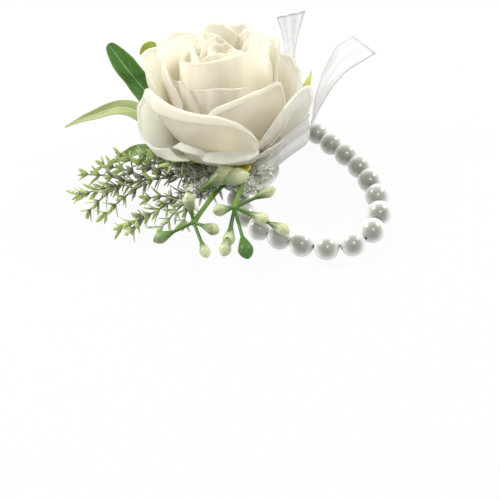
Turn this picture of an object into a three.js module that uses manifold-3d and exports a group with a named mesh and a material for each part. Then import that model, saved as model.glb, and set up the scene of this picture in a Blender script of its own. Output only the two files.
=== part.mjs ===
// Wrist corsage: a cloth rose with leaves, twigs, berries and an organza bow on a felt pad,
// and a stretch bracelet of pearls that laces through the glue above the pad.
// Millimetres, +Z up. The origin is the centre of the pad's underside, below the tie of the bracelet.
import * as THREE from 'three';
import { mergeVertices } from 'three/addons/utils/BufferGeometryUtils.js';
import Module from 'manifold-3d';

const wasm = await Module();
wasm.setup();

// Pad and glue
const padRadius = 11;
const padThickness = 1.2;
const padEdgeRound = 0.3;
const seatGap = 0.3;
const glueTopHeight = 7.2;
const glueFootRadius = 9.5;
const glueTopRadius = 6.5;
const channelRadius = 0.75;

// Pearl strand
const pearlDiameter = 8;
const pearlGap = 0.3;
const pearlWaistRadius = 0.85;
const pearlMouthRadius = 1.95;
const cordDiameter = 0.8;
const tieClearance = 3.7;
const tieHeading = 73.3;
const strandHeadings = [-82, -66, -48, -41, -28, -6, 29, 61, 81, 94, 101, 110, 116, 114, 133, 161, 196];

// Rose
const roseRadius = 30;
const roseHeight = 38;
const roseSeat = new THREE.Vector3(-4.2, -3.3, 13);
const roseTiltBack = 18;
const roseTiltRight = 8;
const petalThickness = 0.4;
const whorlStep = 0.9;
const collarRadius = 2.4;
const pegRadius = 0.85;
const pegClearance = 0.35;
const coreRadius = 2.5;
const coreHeightShare = 0.62;
const calyxRadius = 4.2;
const calyxHeight = 3.9;
const sepalLength = 27;
const sepalHalfWidth = 3.2;

// Greenery
const greenSpan = 60;
const twigShares = { radius: 0.0092, needleLength: 0.083, needleWidth: 0.0183, needleSpacing: 0.0767 };
const leafThickness = 0.5;
const leafHalfWidth = 5;
const petioleHalfWidth = 0.7;
const berryStemRadius = 0.8;
const pedicelRadius = 0.6;
const budLength = 6.6;
const budRadius = 2.1;

// Ribbon
const ribbonThickness = 0.3;
const knotLength = 5;
const knotRadius = 1.5;

const pearlRadius = pearlDiameter / 2;
const strandHeight = pearlRadius;
const pearlPitch = pearlDiameter + pearlGap;
const tieReach = padRadius + tieClearance + pearlRadius;
const glueFootHeight = padThickness + seatGap;
const twigRadius = greenSpan * twigShares.radius;
const needleLength = greenSpan * twigShares.needleLength;
const needleWidth = greenSpan * twigShares.needleWidth;
const needleSpacing = greenSpan * twigShares.needleSpacing;

const corsage = new THREE.Group();

function addPiece(name, geometry, color, roughness, metalness = 0) {
  geometry.computeVertexNormals();
  const mesh = new THREE.Mesh(geometry, new THREE.MeshStandardMaterial({ color, roughness, metalness }));
  mesh.name = name;
  corsage.add(mesh);
  return mesh;
}

// Solids and their joins
function toSolid(geometry) {
  const bare = geometry.clone();
  bare.deleteAttribute('normal');
  bare.deleteAttribute('uv');
  const merged = mergeVertices(bare);
  const vertProperties = new Float32Array(merged.attributes.position.array);
  const triVerts = new Uint32Array(merged.index.array);
  return new wasm.Manifold(new wasm.Mesh({ numProp: 3, vertProperties, triVerts }));
}

function toGeometry(solid) {
  const mesh = solid.getMesh();
  const geometry = new THREE.BufferGeometry();
  geometry.setAttribute('position', new THREE.BufferAttribute(new Float32Array(mesh.vertProperties), 3));
  geometry.setIndex(new THREE.BufferAttribute(new Uint32Array(mesh.triVerts), 1));
  return geometry;
}

function joined(geometries) {
  let solid = toSolid(geometries[0]);
  for (const geometry of geometries.slice(1)) solid = solid.add(toSolid(geometry));
  return toGeometry(solid);
}

function vector(values, scale = 1) {
  return new THREE.Vector3(...values).multiplyScalar(scale);
}

// A sheet with a wall: surface(u, v) gives its middle for u across and v along, both from 0 to 1
function thickSheet(surface, columns, rows, thickness) {
  const step = 1e-3;
  const positions = [];
  const index = [];
  for (const side of [0.5, -0.5]) {
    for (let j = 0; j <= rows; j++) {
      for (let i = 0; i <= columns; i++) {
        const u = i / columns;
        const v = j / rows;
        const across = surface(Math.min(u + step, 1), v).sub(surface(Math.max(u - step, 0), v));
        const along = surface(u, Math.min(v + step, 1)).sub(surface(u, Math.max(v - step, 0)));
        const normal = across.cross(along).normalize();
        positions.push(...surface(u, v).addScaledVector(normal, side * thickness).toArray());
      }
    }
  }
  const back = (columns + 1) * (rows + 1);
  const at = (i, j) => j * (columns + 1) + i;
  const quad = (a, b, c, d) => index.push(a, b, c, a, c, d);
  for (let j = 0; j < rows; j++) {
    for (let i = 0; i < columns; i++) {
      quad(at(i, j), at(i + 1, j), at(i + 1, j + 1), at(i, j + 1));
      quad(back + at(i, j + 1), back + at(i + 1, j + 1), back + at(i + 1, j), back + at(i, j));
    }
    quad(back + at(0, j), at(0, j), at(0, j + 1), back + at(0, j + 1));
    quad(at(columns, j), back + at(columns, j), back + at(columns, j + 1), at(columns, j + 1));
  }
  for (let i = 0; i < columns; i++) {
    quad(at(i, 0), back + at(i, 0), back + at(i + 1, 0), at(i + 1, 0));
    quad(back + at(i, rows), at(i, rows), at(i + 1, rows), back + at(i + 1, rows));
  }
  const geometry = new THREE.BufferGeometry();
  geometry.setAttribute('position', new THREE.BufferAttribute(new Float32Array(positions), 3));
  geometry.setIndex(index);
  return geometry;
}

function lathe(profile, segments) {
  const points = profile.map(([r, h]) => new THREE.Vector2(r, h));
  return new THREE.LatheGeometry(points, segments).rotateX(Math.PI / 2);
}

function tube(curve, radius, steps, sides = 6) {
  const section = new THREE.Shape();
  for (let k = 0; k < sides; k++) {
    const angle = (k / sides) * 2 * Math.PI;
    const place = [radius * Math.cos(angle), radius * Math.sin(angle)];
    if (k === 0) section.moveTo(...place);
    else section.lineTo(...place);
  }
  section.closePath();
  return new THREE.ExtrudeGeometry(section, { steps, extrudePath: curve, bevelEnabled: false });
}

// Felt pad, with its edge eased
function feltPad() {
  const profile = [
    [0, 0],
    [padRadius - padEdgeRound, 0],
    [padRadius, padEdgeRound],
    [padRadius, padThickness - padEdgeRound],
    [padRadius - padEdgeRound, padThickness],
    [0, padThickness],
  ];
  return lathe(profile, 40);
}

// Hot glue mound with the channel that the elastic runs through
const tieAngle = THREE.MathUtils.degToRad(tieHeading);
const tieDirection = new THREE.Vector3(Math.cos(tieAngle), Math.sin(tieAngle), 0);

// The mound's side, as shares of its foot radius and of its rise
const moundShares = [[0.97, 0], [1, 0.12], [0.94, 0.5], [0.84, 0.8], [glueTopRadius / glueFootRadius, 1]];

function glueMound() {
  const rise = glueTopHeight - glueFootHeight;
  const side = moundShares.map(([across, up]) => [glueFootRadius * across, glueFootHeight + rise * up]);
  const profile = [[0, glueFootHeight], ...side, [0, glueTopHeight]];
  const channelHalf = tieDirection.clone().multiplyScalar(2 * glueFootRadius);
  const middle = new THREE.Vector3(0, 0, strandHeight);
  const run = new THREE.LineCurve3(middle.clone().sub(channelHalf), middle.clone().add(channelHalf));
  return toGeometry(toSolid(lathe(profile, 28)).subtract(toSolid(tube(run, channelRadius, 1, 10))));
}

function moundRadius(riseShare) {
  const k = Math.max(1, moundShares.findIndex(([, up]) => up >= riseShare));
  const [[nearAcross, nearUp], [farAcross, farUp]] = [moundShares[k - 1], moundShares[k]];
  return glueFootRadius * THREE.MathUtils.mapLinear(riseShare, nearUp, farUp, nearAcross, farAcross);
}

// Where a stem's end meets the glue mound: its heading in degrees and its share of the mound's rise
const stemSeatShare = 0.7;

function moundSeat([heading, riseShare], stemRadius) {
  const angle = THREE.MathUtils.degToRad(heading);
  const height = THREE.MathUtils.lerp(glueFootHeight, glueTopHeight, riseShare);
  const reach = moundRadius(riseShare) + seatGap + stemRadius * stemSeatShare;
  return new THREE.Vector3(reach * Math.cos(angle), reach * Math.sin(angle), height);
}

// Pearl strand: each pearl lies one pitch from the last, on the headings of the strand
function pearlCentres() {
  const centres = [tieDirection.clone().multiplyScalar(-tieReach).setZ(strandHeight)];
  for (const heading of strandHeadings) {
    const angle = THREE.MathUtils.degToRad(heading);
    const stride = new THREE.Vector3(Math.cos(angle), Math.sin(angle), 0).multiplyScalar(pearlPitch);
    centres.push(centres.at(-1).clone().add(stride));
  }
  return centres;
}

// Pearl: a sphere whose bore narrows from both mouths to a waist
function pearl() {
  const mouthAngle = Math.asin(pearlMouthRadius / pearlRadius);
  const rings = 7;
  const profile = [];
  for (let k = 0; k < rings; k++) {
    const angle = THREE.MathUtils.lerp(mouthAngle, Math.PI - mouthAngle, k / (rings - 1));
    profile.push([pearlRadius * Math.sin(angle), -pearlRadius * Math.cos(angle)]);
  }
  profile.push([pearlWaistRadius, 0]);
  profile.push(profile[0]);
  return lathe(profile, 12);
}

// Elastic: one closed ring through every pearl and back through the glue
function elasticRoute(centres) {
  const channelEnd = tieDirection.clone().multiplyScalar(padRadius);
  const middle = new THREE.Vector3(0, 0, strandHeight);
  const inside = [middle.clone().add(channelEnd), middle, middle.clone().sub(channelEnd)];
  return new THREE.CatmullRomCurve3([...centres, ...inside], true, 'centripetal');
}

function elasticRing(route) {
  const steps = 4 * route.points.length;
  const sides = 6;
  const positions = [];
  const index = [];
  const up = new THREE.Vector3(0, 0, 1);
  for (let k = 0; k < steps; k++) {
    const point = route.getPoint(k / steps);
    const outward = up.clone().cross(route.getTangent(k / steps)).normalize();
    for (let s = 0; s < sides; s++) {
      const angle = (s / sides) * 2 * Math.PI;
      const place = point.clone()
        .addScaledVector(outward, (cordDiameter / 2) * Math.cos(angle))
        .addScaledVector(up, (cordDiameter / 2) * Math.sin(angle));
      positions.push(...place.toArray());
    }
  }
  for (let k = 0; k < steps; k++) {
    for (let s = 0; s < sides; s++) {
      const next = (k + 1) % steps;
      const turn = (s + 1) % sides;
      const [a, b, c, d] = [k * sides + s, k * sides + turn, next * sides + turn, next * sides + s];
      index.push(a, b, c, a, c, d);
    }
  }
  const geometry = new THREE.BufferGeometry();
  geometry.setAttribute('position', new THREE.BufferAttribute(new Float32Array(positions), 3));
  geometry.setIndex(index);
  return geometry;
}

// Rose: each whorl is one die cut flower. Every petal is a wall that climbs from the collar to its lip.
// A wall point is a share of the lip's radius and of its height. The raised wall passes over the pearls.
const wallShares = {
  outer: [[0, 0], [0.35, 0.01], [0.7, 0.12], [0.9, 0.46], [1, 1]],
  raised: [[0, 0], [0.35, 0.03], [0.55, 0.12], [0.7, 0.26], [0.9, 0.55], [1, 1]],
  open: [[0, 0], [0.36, 0.01], [0.66, 0.12], [0.86, 0.38], [0.95, 0.72], [0.96, 0.95], [1, 1]],
  cup: [[0, 0], [0.38, 0.04], [0.64, 0.17], [0.85, 0.42], [0.94, 0.74], [0.95, 0.95], [1.02, 1]],
  shoulder: [[0, 0], [0.36, 0.03], [0.66, 0.14], [0.9, 0.4], [0.98, 0.72], [0.97, 0.95], [1.02, 1]],
  bud: [[0, 0], [0.4, 0.06], [0.73, 0.17], [0.95, 0.42], [1, 0.72], [0.95, 0.95], [0.99, 1]],
  heart: [[0, 0], [0.5, 0.1], [0.9, 0.35], [1.05, 0.65], [1, 1]],
};

// A lip point is a heading in degrees and shares of the rose's radius and height.
// A petal is narrow at its root and reaches its full width by the growth power.
const whorlShares = [
  {
    name: 'outer_petals',
    wall: wallShares.outer,
    growthPower: 2,
    lips: [
      [[-55, 0.733, 0.211], [-48, 0.76, 0.184], [-40, 0.76, 0.189], [-33, 0.733, 0.216], [-28, 0.7, 0.237]],
      [
        [-25, 0.667, 0.168], [-19, 0.7, 0.121], [-10, 0.707, 0.097],
        [0, 0.7, 0.095], [8, 0.687, 0.121], [13, 0.653, 0.168],
      ],
      [
        [20, 0.7, 0.179], [28, 0.753, 0.226], [38, 0.793, 0.263],
        [52, 0.833, 0.279], [70, 0.887, 0.263], [94, 0.913, 0.221],
      ],
      [[174, 0.8, 0.263], [187, 0.833, 0.305], [202, 0.833, 0.305], [215, 0.833, 0.263]],
      [[-140, 0.833, 0.289], [-128, 0.88, 0.316], [-114, 0.9, 0.289], [-102, 0.9, 0.237]],
    ],
    raisedLips: [[[138, 0.833, 0.263], [148, 0.867, 0.289], [158, 0.853, 0.289], [168, 0.813, 0.263]]],
  },
  {
    name: 'open_petals',
    wall: wallShares.open,
    growthPower: 2,
    lips: [
      [
        [26, 0.8, 0.447], [40, 0.853, 0.579], [54, 0.893, 0.637], [66, 0.913, 0.621],
        [76, 0.927, 0.526], [85, 0.92, 0.368], [94, 0.88, 0.237],
      ],
      [
        [98, 0.887, 0.447], [109, 0.913, 0.553], [122, 0.907, 0.618],
        [138, 0.88, 0.595], [150, 0.847, 0.474],
      ],
      [
        [155, 0.833, 0.474], [168, 0.867, 0.579], [182, 0.883, 0.632],
        [196, 0.88, 0.595], [206, 0.853, 0.5],
      ],
      [
        [-150, 0.853, 0.474], [-141, 0.9, 0.605], [-130, 0.927, 0.658],
        [-120, 0.927, 0.605], [-113, 0.9, 0.474],
      ],
      [
        [-109, 0.907, 0.526], [-100, 0.96, 0.563], [-91, 0.993, 0.408], [-83, 0.993, 0.295],
        [-74, 0.967, 0.242], [-66, 0.933, 0.242], [-59, 0.867, 0.3],
      ],
    ],
  },
  {
    name: 'cup_petals',
    wall: wallShares.cup,
    growthPower: 3,
    lips: [
      [
        [-88, 0.867, 0.579], [-78, 0.847, 0.621], [-64, 0.813, 0.589],
        [-48, 0.787, 0.568], [-32, 0.773, 0.561], [-14, 0.767, 0.537],
        [-3, 0.76, 0.479], [6, 0.753, 0.4], [14, 0.74, 0.289],
      ],
      [
        [-34, 0.64, 0.447], [-24, 0.643, 0.537], [-12, 0.653, 0.595], [3, 0.667, 0.639], [18, 0.68, 0.682],
        [34, 0.687, 0.711], [47, 0.69, 0.716], [57, 0.687, 0.645], [65, 0.673, 0.447],
      ],
      [
        [52, 0.753, 0.474], [68, 0.783, 0.605], [86, 0.807, 0.695], [102, 0.81, 0.747],
        [118, 0.8, 0.779], [132, 0.78, 0.768], [145, 0.76, 0.658],
      ],
      [
        [150, 0.753, 0.684], [162, 0.78, 0.789], [177, 0.793, 0.855],
        [191, 0.787, 0.842], [201, 0.773, 0.737],
      ],
      [
        [-154, 0.8, 0.737], [-142, 0.853, 0.879], [-128, 0.893, 0.916], [-112, 0.907, 0.911],
        [-99, 0.893, 0.863], [-88, 0.833, 0.779], [-78, 0.773, 0.674], [-68, 0.727, 0.526],
      ],
    ],
  },
  {
    name: 'shoulder_petals',
    wall: wallShares.shoulder,
    growthPower: 2,
    lips: [
      [
        [-170, 0.627, 0.895], [-158, 0.66, 1], [-138, 0.687, 1.042], [-116, 0.7, 1.016],
        [-98, 0.7, 0.963], [-88, 0.687, 0.895], [-80, 0.667, 0.789],
      ],
      [
        [-76, 0.6, 0.632], [-68, 0.597, 0.737], [-60, 0.593, 0.758],
        [-52, 0.59, 0.726], [-45, 0.583, 0.605],
      ],
      [
        [-41, 0.563, 0.605], [-32, 0.563, 0.7], [-16, 0.567, 0.716],
        [2, 0.567, 0.711], [22, 0.567, 0.716], [40, 0.573, 0.684],
      ],
      [
        [58, 0.553, 0.605], [74, 0.567, 0.763], [90, 0.58, 0.895],
        [104, 0.613, 0.974], [118, 0.64, 1.005], [131, 0.633, 0.958],
      ],
      [
        [124, 0.567, 0.932], [137, 0.593, 1.005], [150, 0.613, 1.042],
        [164, 0.613, 1.042], [177, 0.593, 1.011], [188, 0.567, 0.937],
      ],
    ],
  },
  {
    name: 'bud_petals',
    wall: wallShares.bud,
    growthPower: 2,
    lips: [
      [
        [-88, 0.487, 0.895], [-70, 0.497, 0.947], [-52, 0.497, 0.918],
        [-30, 0.497, 0.924], [-8, 0.497, 0.953], [12, 0.497, 0.979],
        [32, 0.497, 1.005], [50, 0.497, 1], [64, 0.493, 0.921],
      ],
      [[44, 0.427, 0.895], [58, 0.443, 0.974], [76, 0.473, 1], [92, 0.487, 0.984], [105, 0.48, 0.895]],
      [
        [157, 0.467, 0.961], [167, 0.487, 1.032], [178, 0.497, 1.068],
        [190, 0.497, 1.074], [200, 0.487, 1.037], [208, 0.467, 0.947],
      ],
      [
        [-147, 0.467, 0.963], [-136, 0.48, 1.021], [-122, 0.487, 1.021],
        [-108, 0.487, 1], [-96, 0.473, 0.937],
      ],
      [[110, 0.473, 0.932], [120, 0.487, 1], [132, 0.49, 1.021], [143, 0.483, 1.011], [152, 0.467, 0.947]],
    ],
  },
  {
    name: 'heart_petals',
    wall: wallShares.heart,
    growthPower: 2,
    lips: [
      [[-60, 0.32, 0.879], [-25, 0.34, 0.921], [10, 0.333, 0.932], [48, 0.313, 0.895]],
      [[62, 0.32, 0.895], [95, 0.34, 0.937], [130, 0.333, 0.947], [166, 0.313, 0.911]],
      [[180, 0.32, 0.895], [212, 0.34, 0.947], [250, 0.333, 0.937], [288, 0.313, 0.895]],
      [[-30, 0.2, 0.858], [30, 0.213, 0.895], [90, 0.207, 0.879]],
      [[150, 0.2, 0.858], [210, 0.213, 0.905], [270, 0.207, 0.879]],
    ],
  },
];
const rimRoundShare = 0.22;
const rimRoundPower = 3;
const rootWidthShare = 0.35;
const shoulderGrowthShare = 2.4;
const columnDegrees = 19;
const petalRows = 6;

function petal(wall, growthPower, seatHeight, lip) {
  const wallCurve = new THREE.SplineCurve(wall.map(([r, h]) => new THREE.Vector2(r, h)));
  const lipCurve = new THREE.CatmullRomCurve3(lip.map((place) => vector(place)), false, 'catmullrom');
  const middle = (lip[0][0] + lip.at(-1)[0]) / 2;
  const rootRadius = (pegRadius + pegClearance + collarRadius) / 2;
  const surface = (u, v) => {
    const { x: heading, y: reachShare, z: riseShare } = lipCurve.getPoint(u);
    const share = wallCurve.getPoint(v * (1 - rimRoundShare * Math.abs(2 * u - 1) ** rimRoundPower));
    const radius = THREE.MathUtils.lerp(rootRadius, roseRadius * reachShare, share.x);
    const height = THREE.MathUtils.lerp(seatHeight, roseHeight * riseShare, share.y);
    const spread = Math.min(rootWidthShare + shoulderGrowthShare * v ** growthPower, 1);
    const angle = THREE.MathUtils.degToRad(middle + (heading - middle) * spread);
    return new THREE.Vector3(radius * Math.sin(angle), -radius * Math.cos(angle), height);
  };
  const columns = Math.max(3, Math.round(Math.abs(lip.at(-1)[0] - lip[0][0]) / columnDegrees));
  return thickSheet(surface, columns, petalRows, petalThickness);
}

function whorl(shares, seatHeight) {
  const { wall, growthPower, lips, raisedLips = [] } = shares;
  const holeRadius = pegRadius + pegClearance;
  const half = petalThickness / 2;
  const collar = lathe([
    [holeRadius, seatHeight - half],
    [collarRadius, seatHeight - half],
    [collarRadius, seatHeight + half],
    [holeRadius, seatHeight + half],
    [holeRadius, seatHeight - half],
  ], 14);
  const plain = lips.map((lip) => petal(wall, growthPower, seatHeight, lip));
  const raised = raisedLips.map((lip) => petal(wallShares.raised, growthPower, seatHeight, lip));
  return joined([collar, ...plain, ...raised]);
}

// Peg through the collars, with the foam heart that the inner petals close round.
// The heart's side is in shares of its radius and of its rise.
const coreShares = [[0.55, 0], [0.75, 0.25], [1, 0.7], [0.7, 0.93], [0, 1]];

function rosePeg(topSeat) {
  const coreTop = roseHeight * coreHeightShare;
  const coreFoot = topSeat + collarRadius;
  return lathe([
    [0, -petalThickness / 2 - seatGap],
    [pegRadius, -petalThickness / 2 - seatGap],
    [pegRadius, coreFoot],
    ...coreShares.map(([across, up]) => [coreRadius * across, THREE.MathUtils.lerp(coreFoot, coreTop, up)]),
  ], 12);
}

// Calyx: a cup under the rose and five pointed sepals, each with its heading in degrees
// and its length and rise as shares of a sepal's length
const sepalShares = [
  [4, 0.42, 0],
  [70, 0.5, 0.02],
  [114, 1.15, 0.82],
  [-150, 0.5, 0.02],
  [-78, 0.5, 0.02],
];
const sepalFormShares = { start: 0.5, root: 0.45, growth: 1.6, trough: 0.12 };
const sepalTipPower = 2.4;
const sepalRisePower = 3;
const cupShares = [[0.5, 1], [0.85, 0.6], [1, 0]];
const cupMouthShare = 0.6;

function sepal([heading, lengthShare, riseShare], top) {
  const angle = THREE.MathUtils.degToRad(heading);
  const outward = new THREE.Vector3(Math.sin(angle), -Math.cos(angle), 0);
  const sideways = new THREE.Vector3(Math.cos(angle), Math.sin(angle), 0);
  const form = sepalFormShares;
  const surface = (u, v) => {
    const side = 2 * u - 1;
    const reach = calyxRadius * form.start + sepalLength * lengthShare * v;
    const taper = Math.min(form.root + form.growth * v, 1) * (1 - v ** sepalTipPower);
    const width = sepalHalfWidth * taper + petalThickness / 2;
    const trough = sepalHalfWidth * form.trough * side * side;
    const height = top + sepalLength * riseShare * v ** sepalRisePower + trough;
    const place = new THREE.Vector3(0, 0, height).addScaledVector(outward, reach);
    return place.addScaledVector(sideways, width * side);
  };
  return thickSheet(surface, 2, 6, petalThickness);
}

function calyx() {
  const top = -petalThickness - 2 * seatGap - petalThickness / 2;
  const cup = lathe([
    [0, top - calyxHeight],
    ...cupShares.map(([across, down]) => [calyxRadius * across, top - calyxHeight * down]),
    [calyxRadius * cupMouthShare, top + petalThickness / 2],
    [0, top + petalThickness / 2],
  ], 14);
  return joined([cup, ...sepalShares.map((shares) => sepal(shares, top))]);
}

function placeRose(mesh) {
  mesh.position.copy(roseSeat);
  const [back, right] = [-roseTiltBack, roseTiltRight].map(THREE.MathUtils.degToRad);
  mesh.rotation.set(back, right, 0, 'YXZ');
}

// Leaves: a midrib route in shares of the greenery's span, widened by a pointed outline
const leafShares = [
  {
    name: 'dark_leaf',
    seat: [140, 0.75],
    route: [[-0.37, 0.33, 0.15], [-0.55, 0.6, 0.33], [-0.6, 0.64, 0.48], [-0.647, 0.683, 0.633]],
    width: 1,
    face: [0.35, -0.5, 0.8],
    color: 0x3d7a35,
  },
  {
    name: 'pale_leaf',
    seat: [160, 0.6],
    route: [[-0.35, 0.24, 0.15], [-0.6, 0.42, 0.3], [-0.84, 0.41, 0.36], [-1.008, 0.427, 0.3]],
    width: 0.72,
    face: [0, -0.6, 0.8],
    color: 0x93b56b,
  },
  {
    name: 'small_leaf',
    seat: [173, 0.75],
    route: [[-0.35, 0.12, 0.15], [-0.575, 0.2, 0.19], [-0.685, 0.185, 0.19], [-0.797, 0.17, 0.15]],
    width: 0.55,
    face: [0, -0.55, 0.83],
    color: 0x4f8a4a,
  },
  {
    name: 'curled_leaf',
    seat: [114, 0.75],
    route: [[-0.2, 0.43, 0.13], [-0.36, 0.68, 0.3], [-0.42, 0.645, 0.52], [-0.385, 0.5, 0.7]],
    width: 0.6,
    face: [0, -0.9, 0.4],
    color: 0xa8c23a,
  },
];

const leafFormShares = { petiole: 0.2, petioleTaper: 0.6, trough: 0.16 };
const leafForwardPower = 0.8;
const leafFullnessPower = 0.75;

function leaf(shares) {
  const form = leafFormShares;
  const seat = moundSeat(shares.seat, leafThickness);
  const route = new THREE.CatmullRomCurve3([seat, ...shares.route.map((place) => vector(place, greenSpan))]);
  const face = vector(shares.face).normalize();
  const surface = (u, v) => {
    const side = 2 * u - 1;
    const across = route.getTangent(v).cross(face).normalize();
    const blade = Math.max(v - form.petiole, 0) / (1 - form.petiole);
    const outline = Math.sin(Math.PI * blade ** leafForwardPower) ** leafFullnessPower;
    const width = petioleHalfWidth * (1 - form.petioleTaper * v) + leafHalfWidth * shares.width * outline;
    const trough = leafHalfWidth * form.trough * outline * side * side;
    return route.getPoint(v).addScaledVector(across, width * side).addScaledVector(face, trough);
  };
  return thickSheet(surface, 4, 10, leafThickness);
}

// Needle twigs: a main stem, side twigs that leave it at a share of its run, and whorls of needles.
// Places are shares of the greenery's span.
const sprayShares = [
  {
    name: 'needle_twig_long',
    seat: [196, 0.5],
    main: [[-0.4, -0.08, 0.15], [-0.67, -0.05, 0.16], [-0.98, 0.02, 0.1]],
    twigs: [
      [0.33, [-0.57, 0.11, 0.17]],
      [0.42, [-0.7, 0.1, 0.24]],
      [0.55, [-0.81, 0.12, 0.19]],
      [0.68, [-0.91, 0.07, 0.19]],
      [0.72, [-0.93, -0.11, 0.08]],
      [0.52, [-0.84, -0.17, 0.08]],
    ],
  },
  {
    name: 'needle_twig_low',
    seat: [209, 0.5],
    main: [[-0.37, -0.19, 0.11], [-0.57, -0.28, 0.1], [-0.76, -0.3, 0.06]],
    twigs: [[0.75, [-0.69, -0.34, 0.08]], [0.45, [-0.57, -0.2, 0.14]]],
  },
  {
    name: 'needle_twig_front',
    seat: [221, 0.7],
    main: [[-0.25, -0.25, 0.14], [-0.4, -0.32, 0.14], [-0.53, -0.41, 0.1]],
    twigs: [[0.55, [-0.4, -0.44, 0.14]]],
  },
  {
    name: 'needle_twig_grey',
    seat: [185, 0.9],
    main: [[-0.27, -0.03, 0.165], [-0.4, 0.0, 0.21], [-0.55, 0.035, 0.255]],
    twigs: [[0.4, [-0.4, -0.09, 0.26]]],
  },
];

const needlesPerNode = 2;
const needleShares = { start: 0.3, turn: 0.382, lean: 0.9, tipLoss: 0.35, seat: 0.48, sideTwig: 0.8 };

function needles(curve) {
  const pieces = [];
  const length = curve.getLength();
  const nodes = Math.max(2, Math.round((length * (1 - needleShares.start)) / needleSpacing));
  for (let n = 0; n <= nodes; n++) {
    const run = THREE.MathUtils.lerp(needleShares.start, 1, n / nodes);
    const point = curve.getPointAt(run);
    const along = curve.getTangentAt(run);
    const side = new THREE.Vector3(0, 0, 1).cross(along).normalize();
    const above = along.clone().cross(side);
    for (let k = 0; k < needlesPerNode; k++) {
      const turn = 2 * Math.PI * (k / needlesPerNode + needleShares.turn * n);
      const outward = side.clone().multiplyScalar(Math.cos(turn)).addScaledVector(above, Math.sin(turn));
      const direction = along.clone().addScaledVector(outward, needleShares.lean).normalize();
      const size = needleLength * (1 - needleShares.tipLoss * (n / nodes));
      const blade = new THREE.ConeGeometry(1, 2, 3);
      blade.scale(needleWidth / 2, size / 2, needleWidth / 2);
      const turned = new THREE.Quaternion().setFromUnitVectors(new THREE.Vector3(0, 1, 0), direction);
      blade.applyQuaternion(turned);
      const centre = point.clone().addScaledVector(direction, size * needleShares.seat);
      blade.translate(centre.x, centre.y, centre.z);
      pieces.push(blade);
    }
  }
  return pieces;
}

function needleSpray(shares) {
  const seat = moundSeat(shares.seat, twigRadius);
  const main = new THREE.CatmullRomCurve3([seat, ...shares.main.map((place) => vector(place, greenSpan))]);
  const pieces = [tube(main, twigRadius, 10, 5), ...needles(main)];
  for (const [run, tip] of shares.twigs) {
    const start = main.getPoint(run);
    const end = vector(tip, greenSpan);
    const bend = start.clone().lerp(end, 0.5).addScaledVector(new THREE.Vector3(0, 0, 1), needleWidth);
    const twig = new THREE.CatmullRomCurve3([start, bend, end]);
    pieces.push(tube(twig, twigRadius * needleShares.sideTwig, 3, 5), ...needles(twig));
  }
  return joined(pieces);
}

// Berry sprays: a stem to a hub, and pedicels that end in drop shaped buds.
// Places are shares of the greenery's span.
const berryShares = [
  {
    name: 'berry_spray_left',
    seat: [247, 0.9],
    stem: [[-0.15, -0.27, 0.18], [-0.24, -0.42, 0.22], [-0.35, -0.55, 0.2]],
    buds: [
      [[-0.35, -0.49, 0.29], 0.9],
      [[-0.53, -0.565, 0.16], 0.9],
      [[-0.32, -0.75, 0.17], 0.8],
      [[-0.265, -0.64, 0.21], 0.9],
    ],
  },
  {
    name: 'berry_spray_right',
    seat: [264, 0.9],
    stem: [[-0.05, -0.26, 0.19], [-0.06, -0.38, 0.24], [-0.12, -0.54, 0.23]],
    buds: [
      [[-0.18, -0.69, 0.17], 0.9],
      [[-0.21, -0.76, 0.17], 0.9],
      [[-0.11, -0.81, 0.18], 1.1],
      [[-0.19, -0.58, 0.27], 0.9],
      [[0.0, -0.64, 0.21], 0.9],
      [[0.06, -0.5, 0.25], 0.9],
      [[0.09, -0.73, 0.19], 0.9],
    ],
  },
  {
    name: 'berry_stem_top',
    seat: [232, 0.9],
    stem: [[-0.2, -0.22, 0.17], [-0.28, -0.31, 0.21], [-0.22, -0.35, 0.27]],
    buds: [[[-0.155, -0.33, 0.285], 1.1], [[-0.085, -0.36, 0.285], 1]],
  },
];

// The bud's side, as shares of its radius and of its length
const dropShares = [[0, -0.62], [0.3, -0.5], [0.62, -0.2], [1, 0.12], [0.85, 0.3], [0.4, 0.41], [0, 0.44]];
const hubShare = 1.5;

function bud(from, centre, sizeShare) {
  const direction = centre.clone().sub(from).normalize();
  const radius = budRadius * sizeShare;
  const length = budLength * sizeShare;
  const drop = lathe(dropShares.map(([r, h]) => [radius * r, length * h]), 7);
  const turned = new THREE.Quaternion().setFromUnitVectors(new THREE.Vector3(0, 0, 1), direction);
  drop.applyQuaternion(turned);
  drop.translate(centre.x, centre.y, centre.z);
  return drop;
}

function berrySpray(shares) {
  const seat = moundSeat(shares.seat, berryStemRadius);
  const stem = new THREE.CatmullRomCurve3([seat, ...shares.stem.map((place) => vector(place, greenSpan))]);
  const hub = stem.getPoint(1);
  const pieces = [tube(stem, berryStemRadius, 7, 6)];
  for (const [place, sizeShare] of shares.buds) {
    const centre = vector(place, greenSpan);
    pieces.push(tube(new THREE.LineCurve3(hub, centre), pedicelRadius, 1, 6), bud(hub, centre, sizeShare));
  }
  const knob = new THREE.OctahedronGeometry(berryStemRadius * hubShare, 1);
  knob.translate(hub.x, hub.y, hub.z);
  pieces.push(knob);
  return joined(pieces);
}

// The tight centre of the bow lies beside the mound. Its ends are a share of its radius,
// its seat a share of the mound's rise.
const knotEndShare = 0.6;
const knotSeatShare = 0.5;
const knotHeightShare = 0.6;
const knotCentre = new THREE.Vector3(
  moundRadius(knotSeatShare) + seatGap + knotRadius,
  0,
  THREE.MathUtils.lerp(glueFootHeight, glueTopHeight, knotHeightShare),
);

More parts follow.
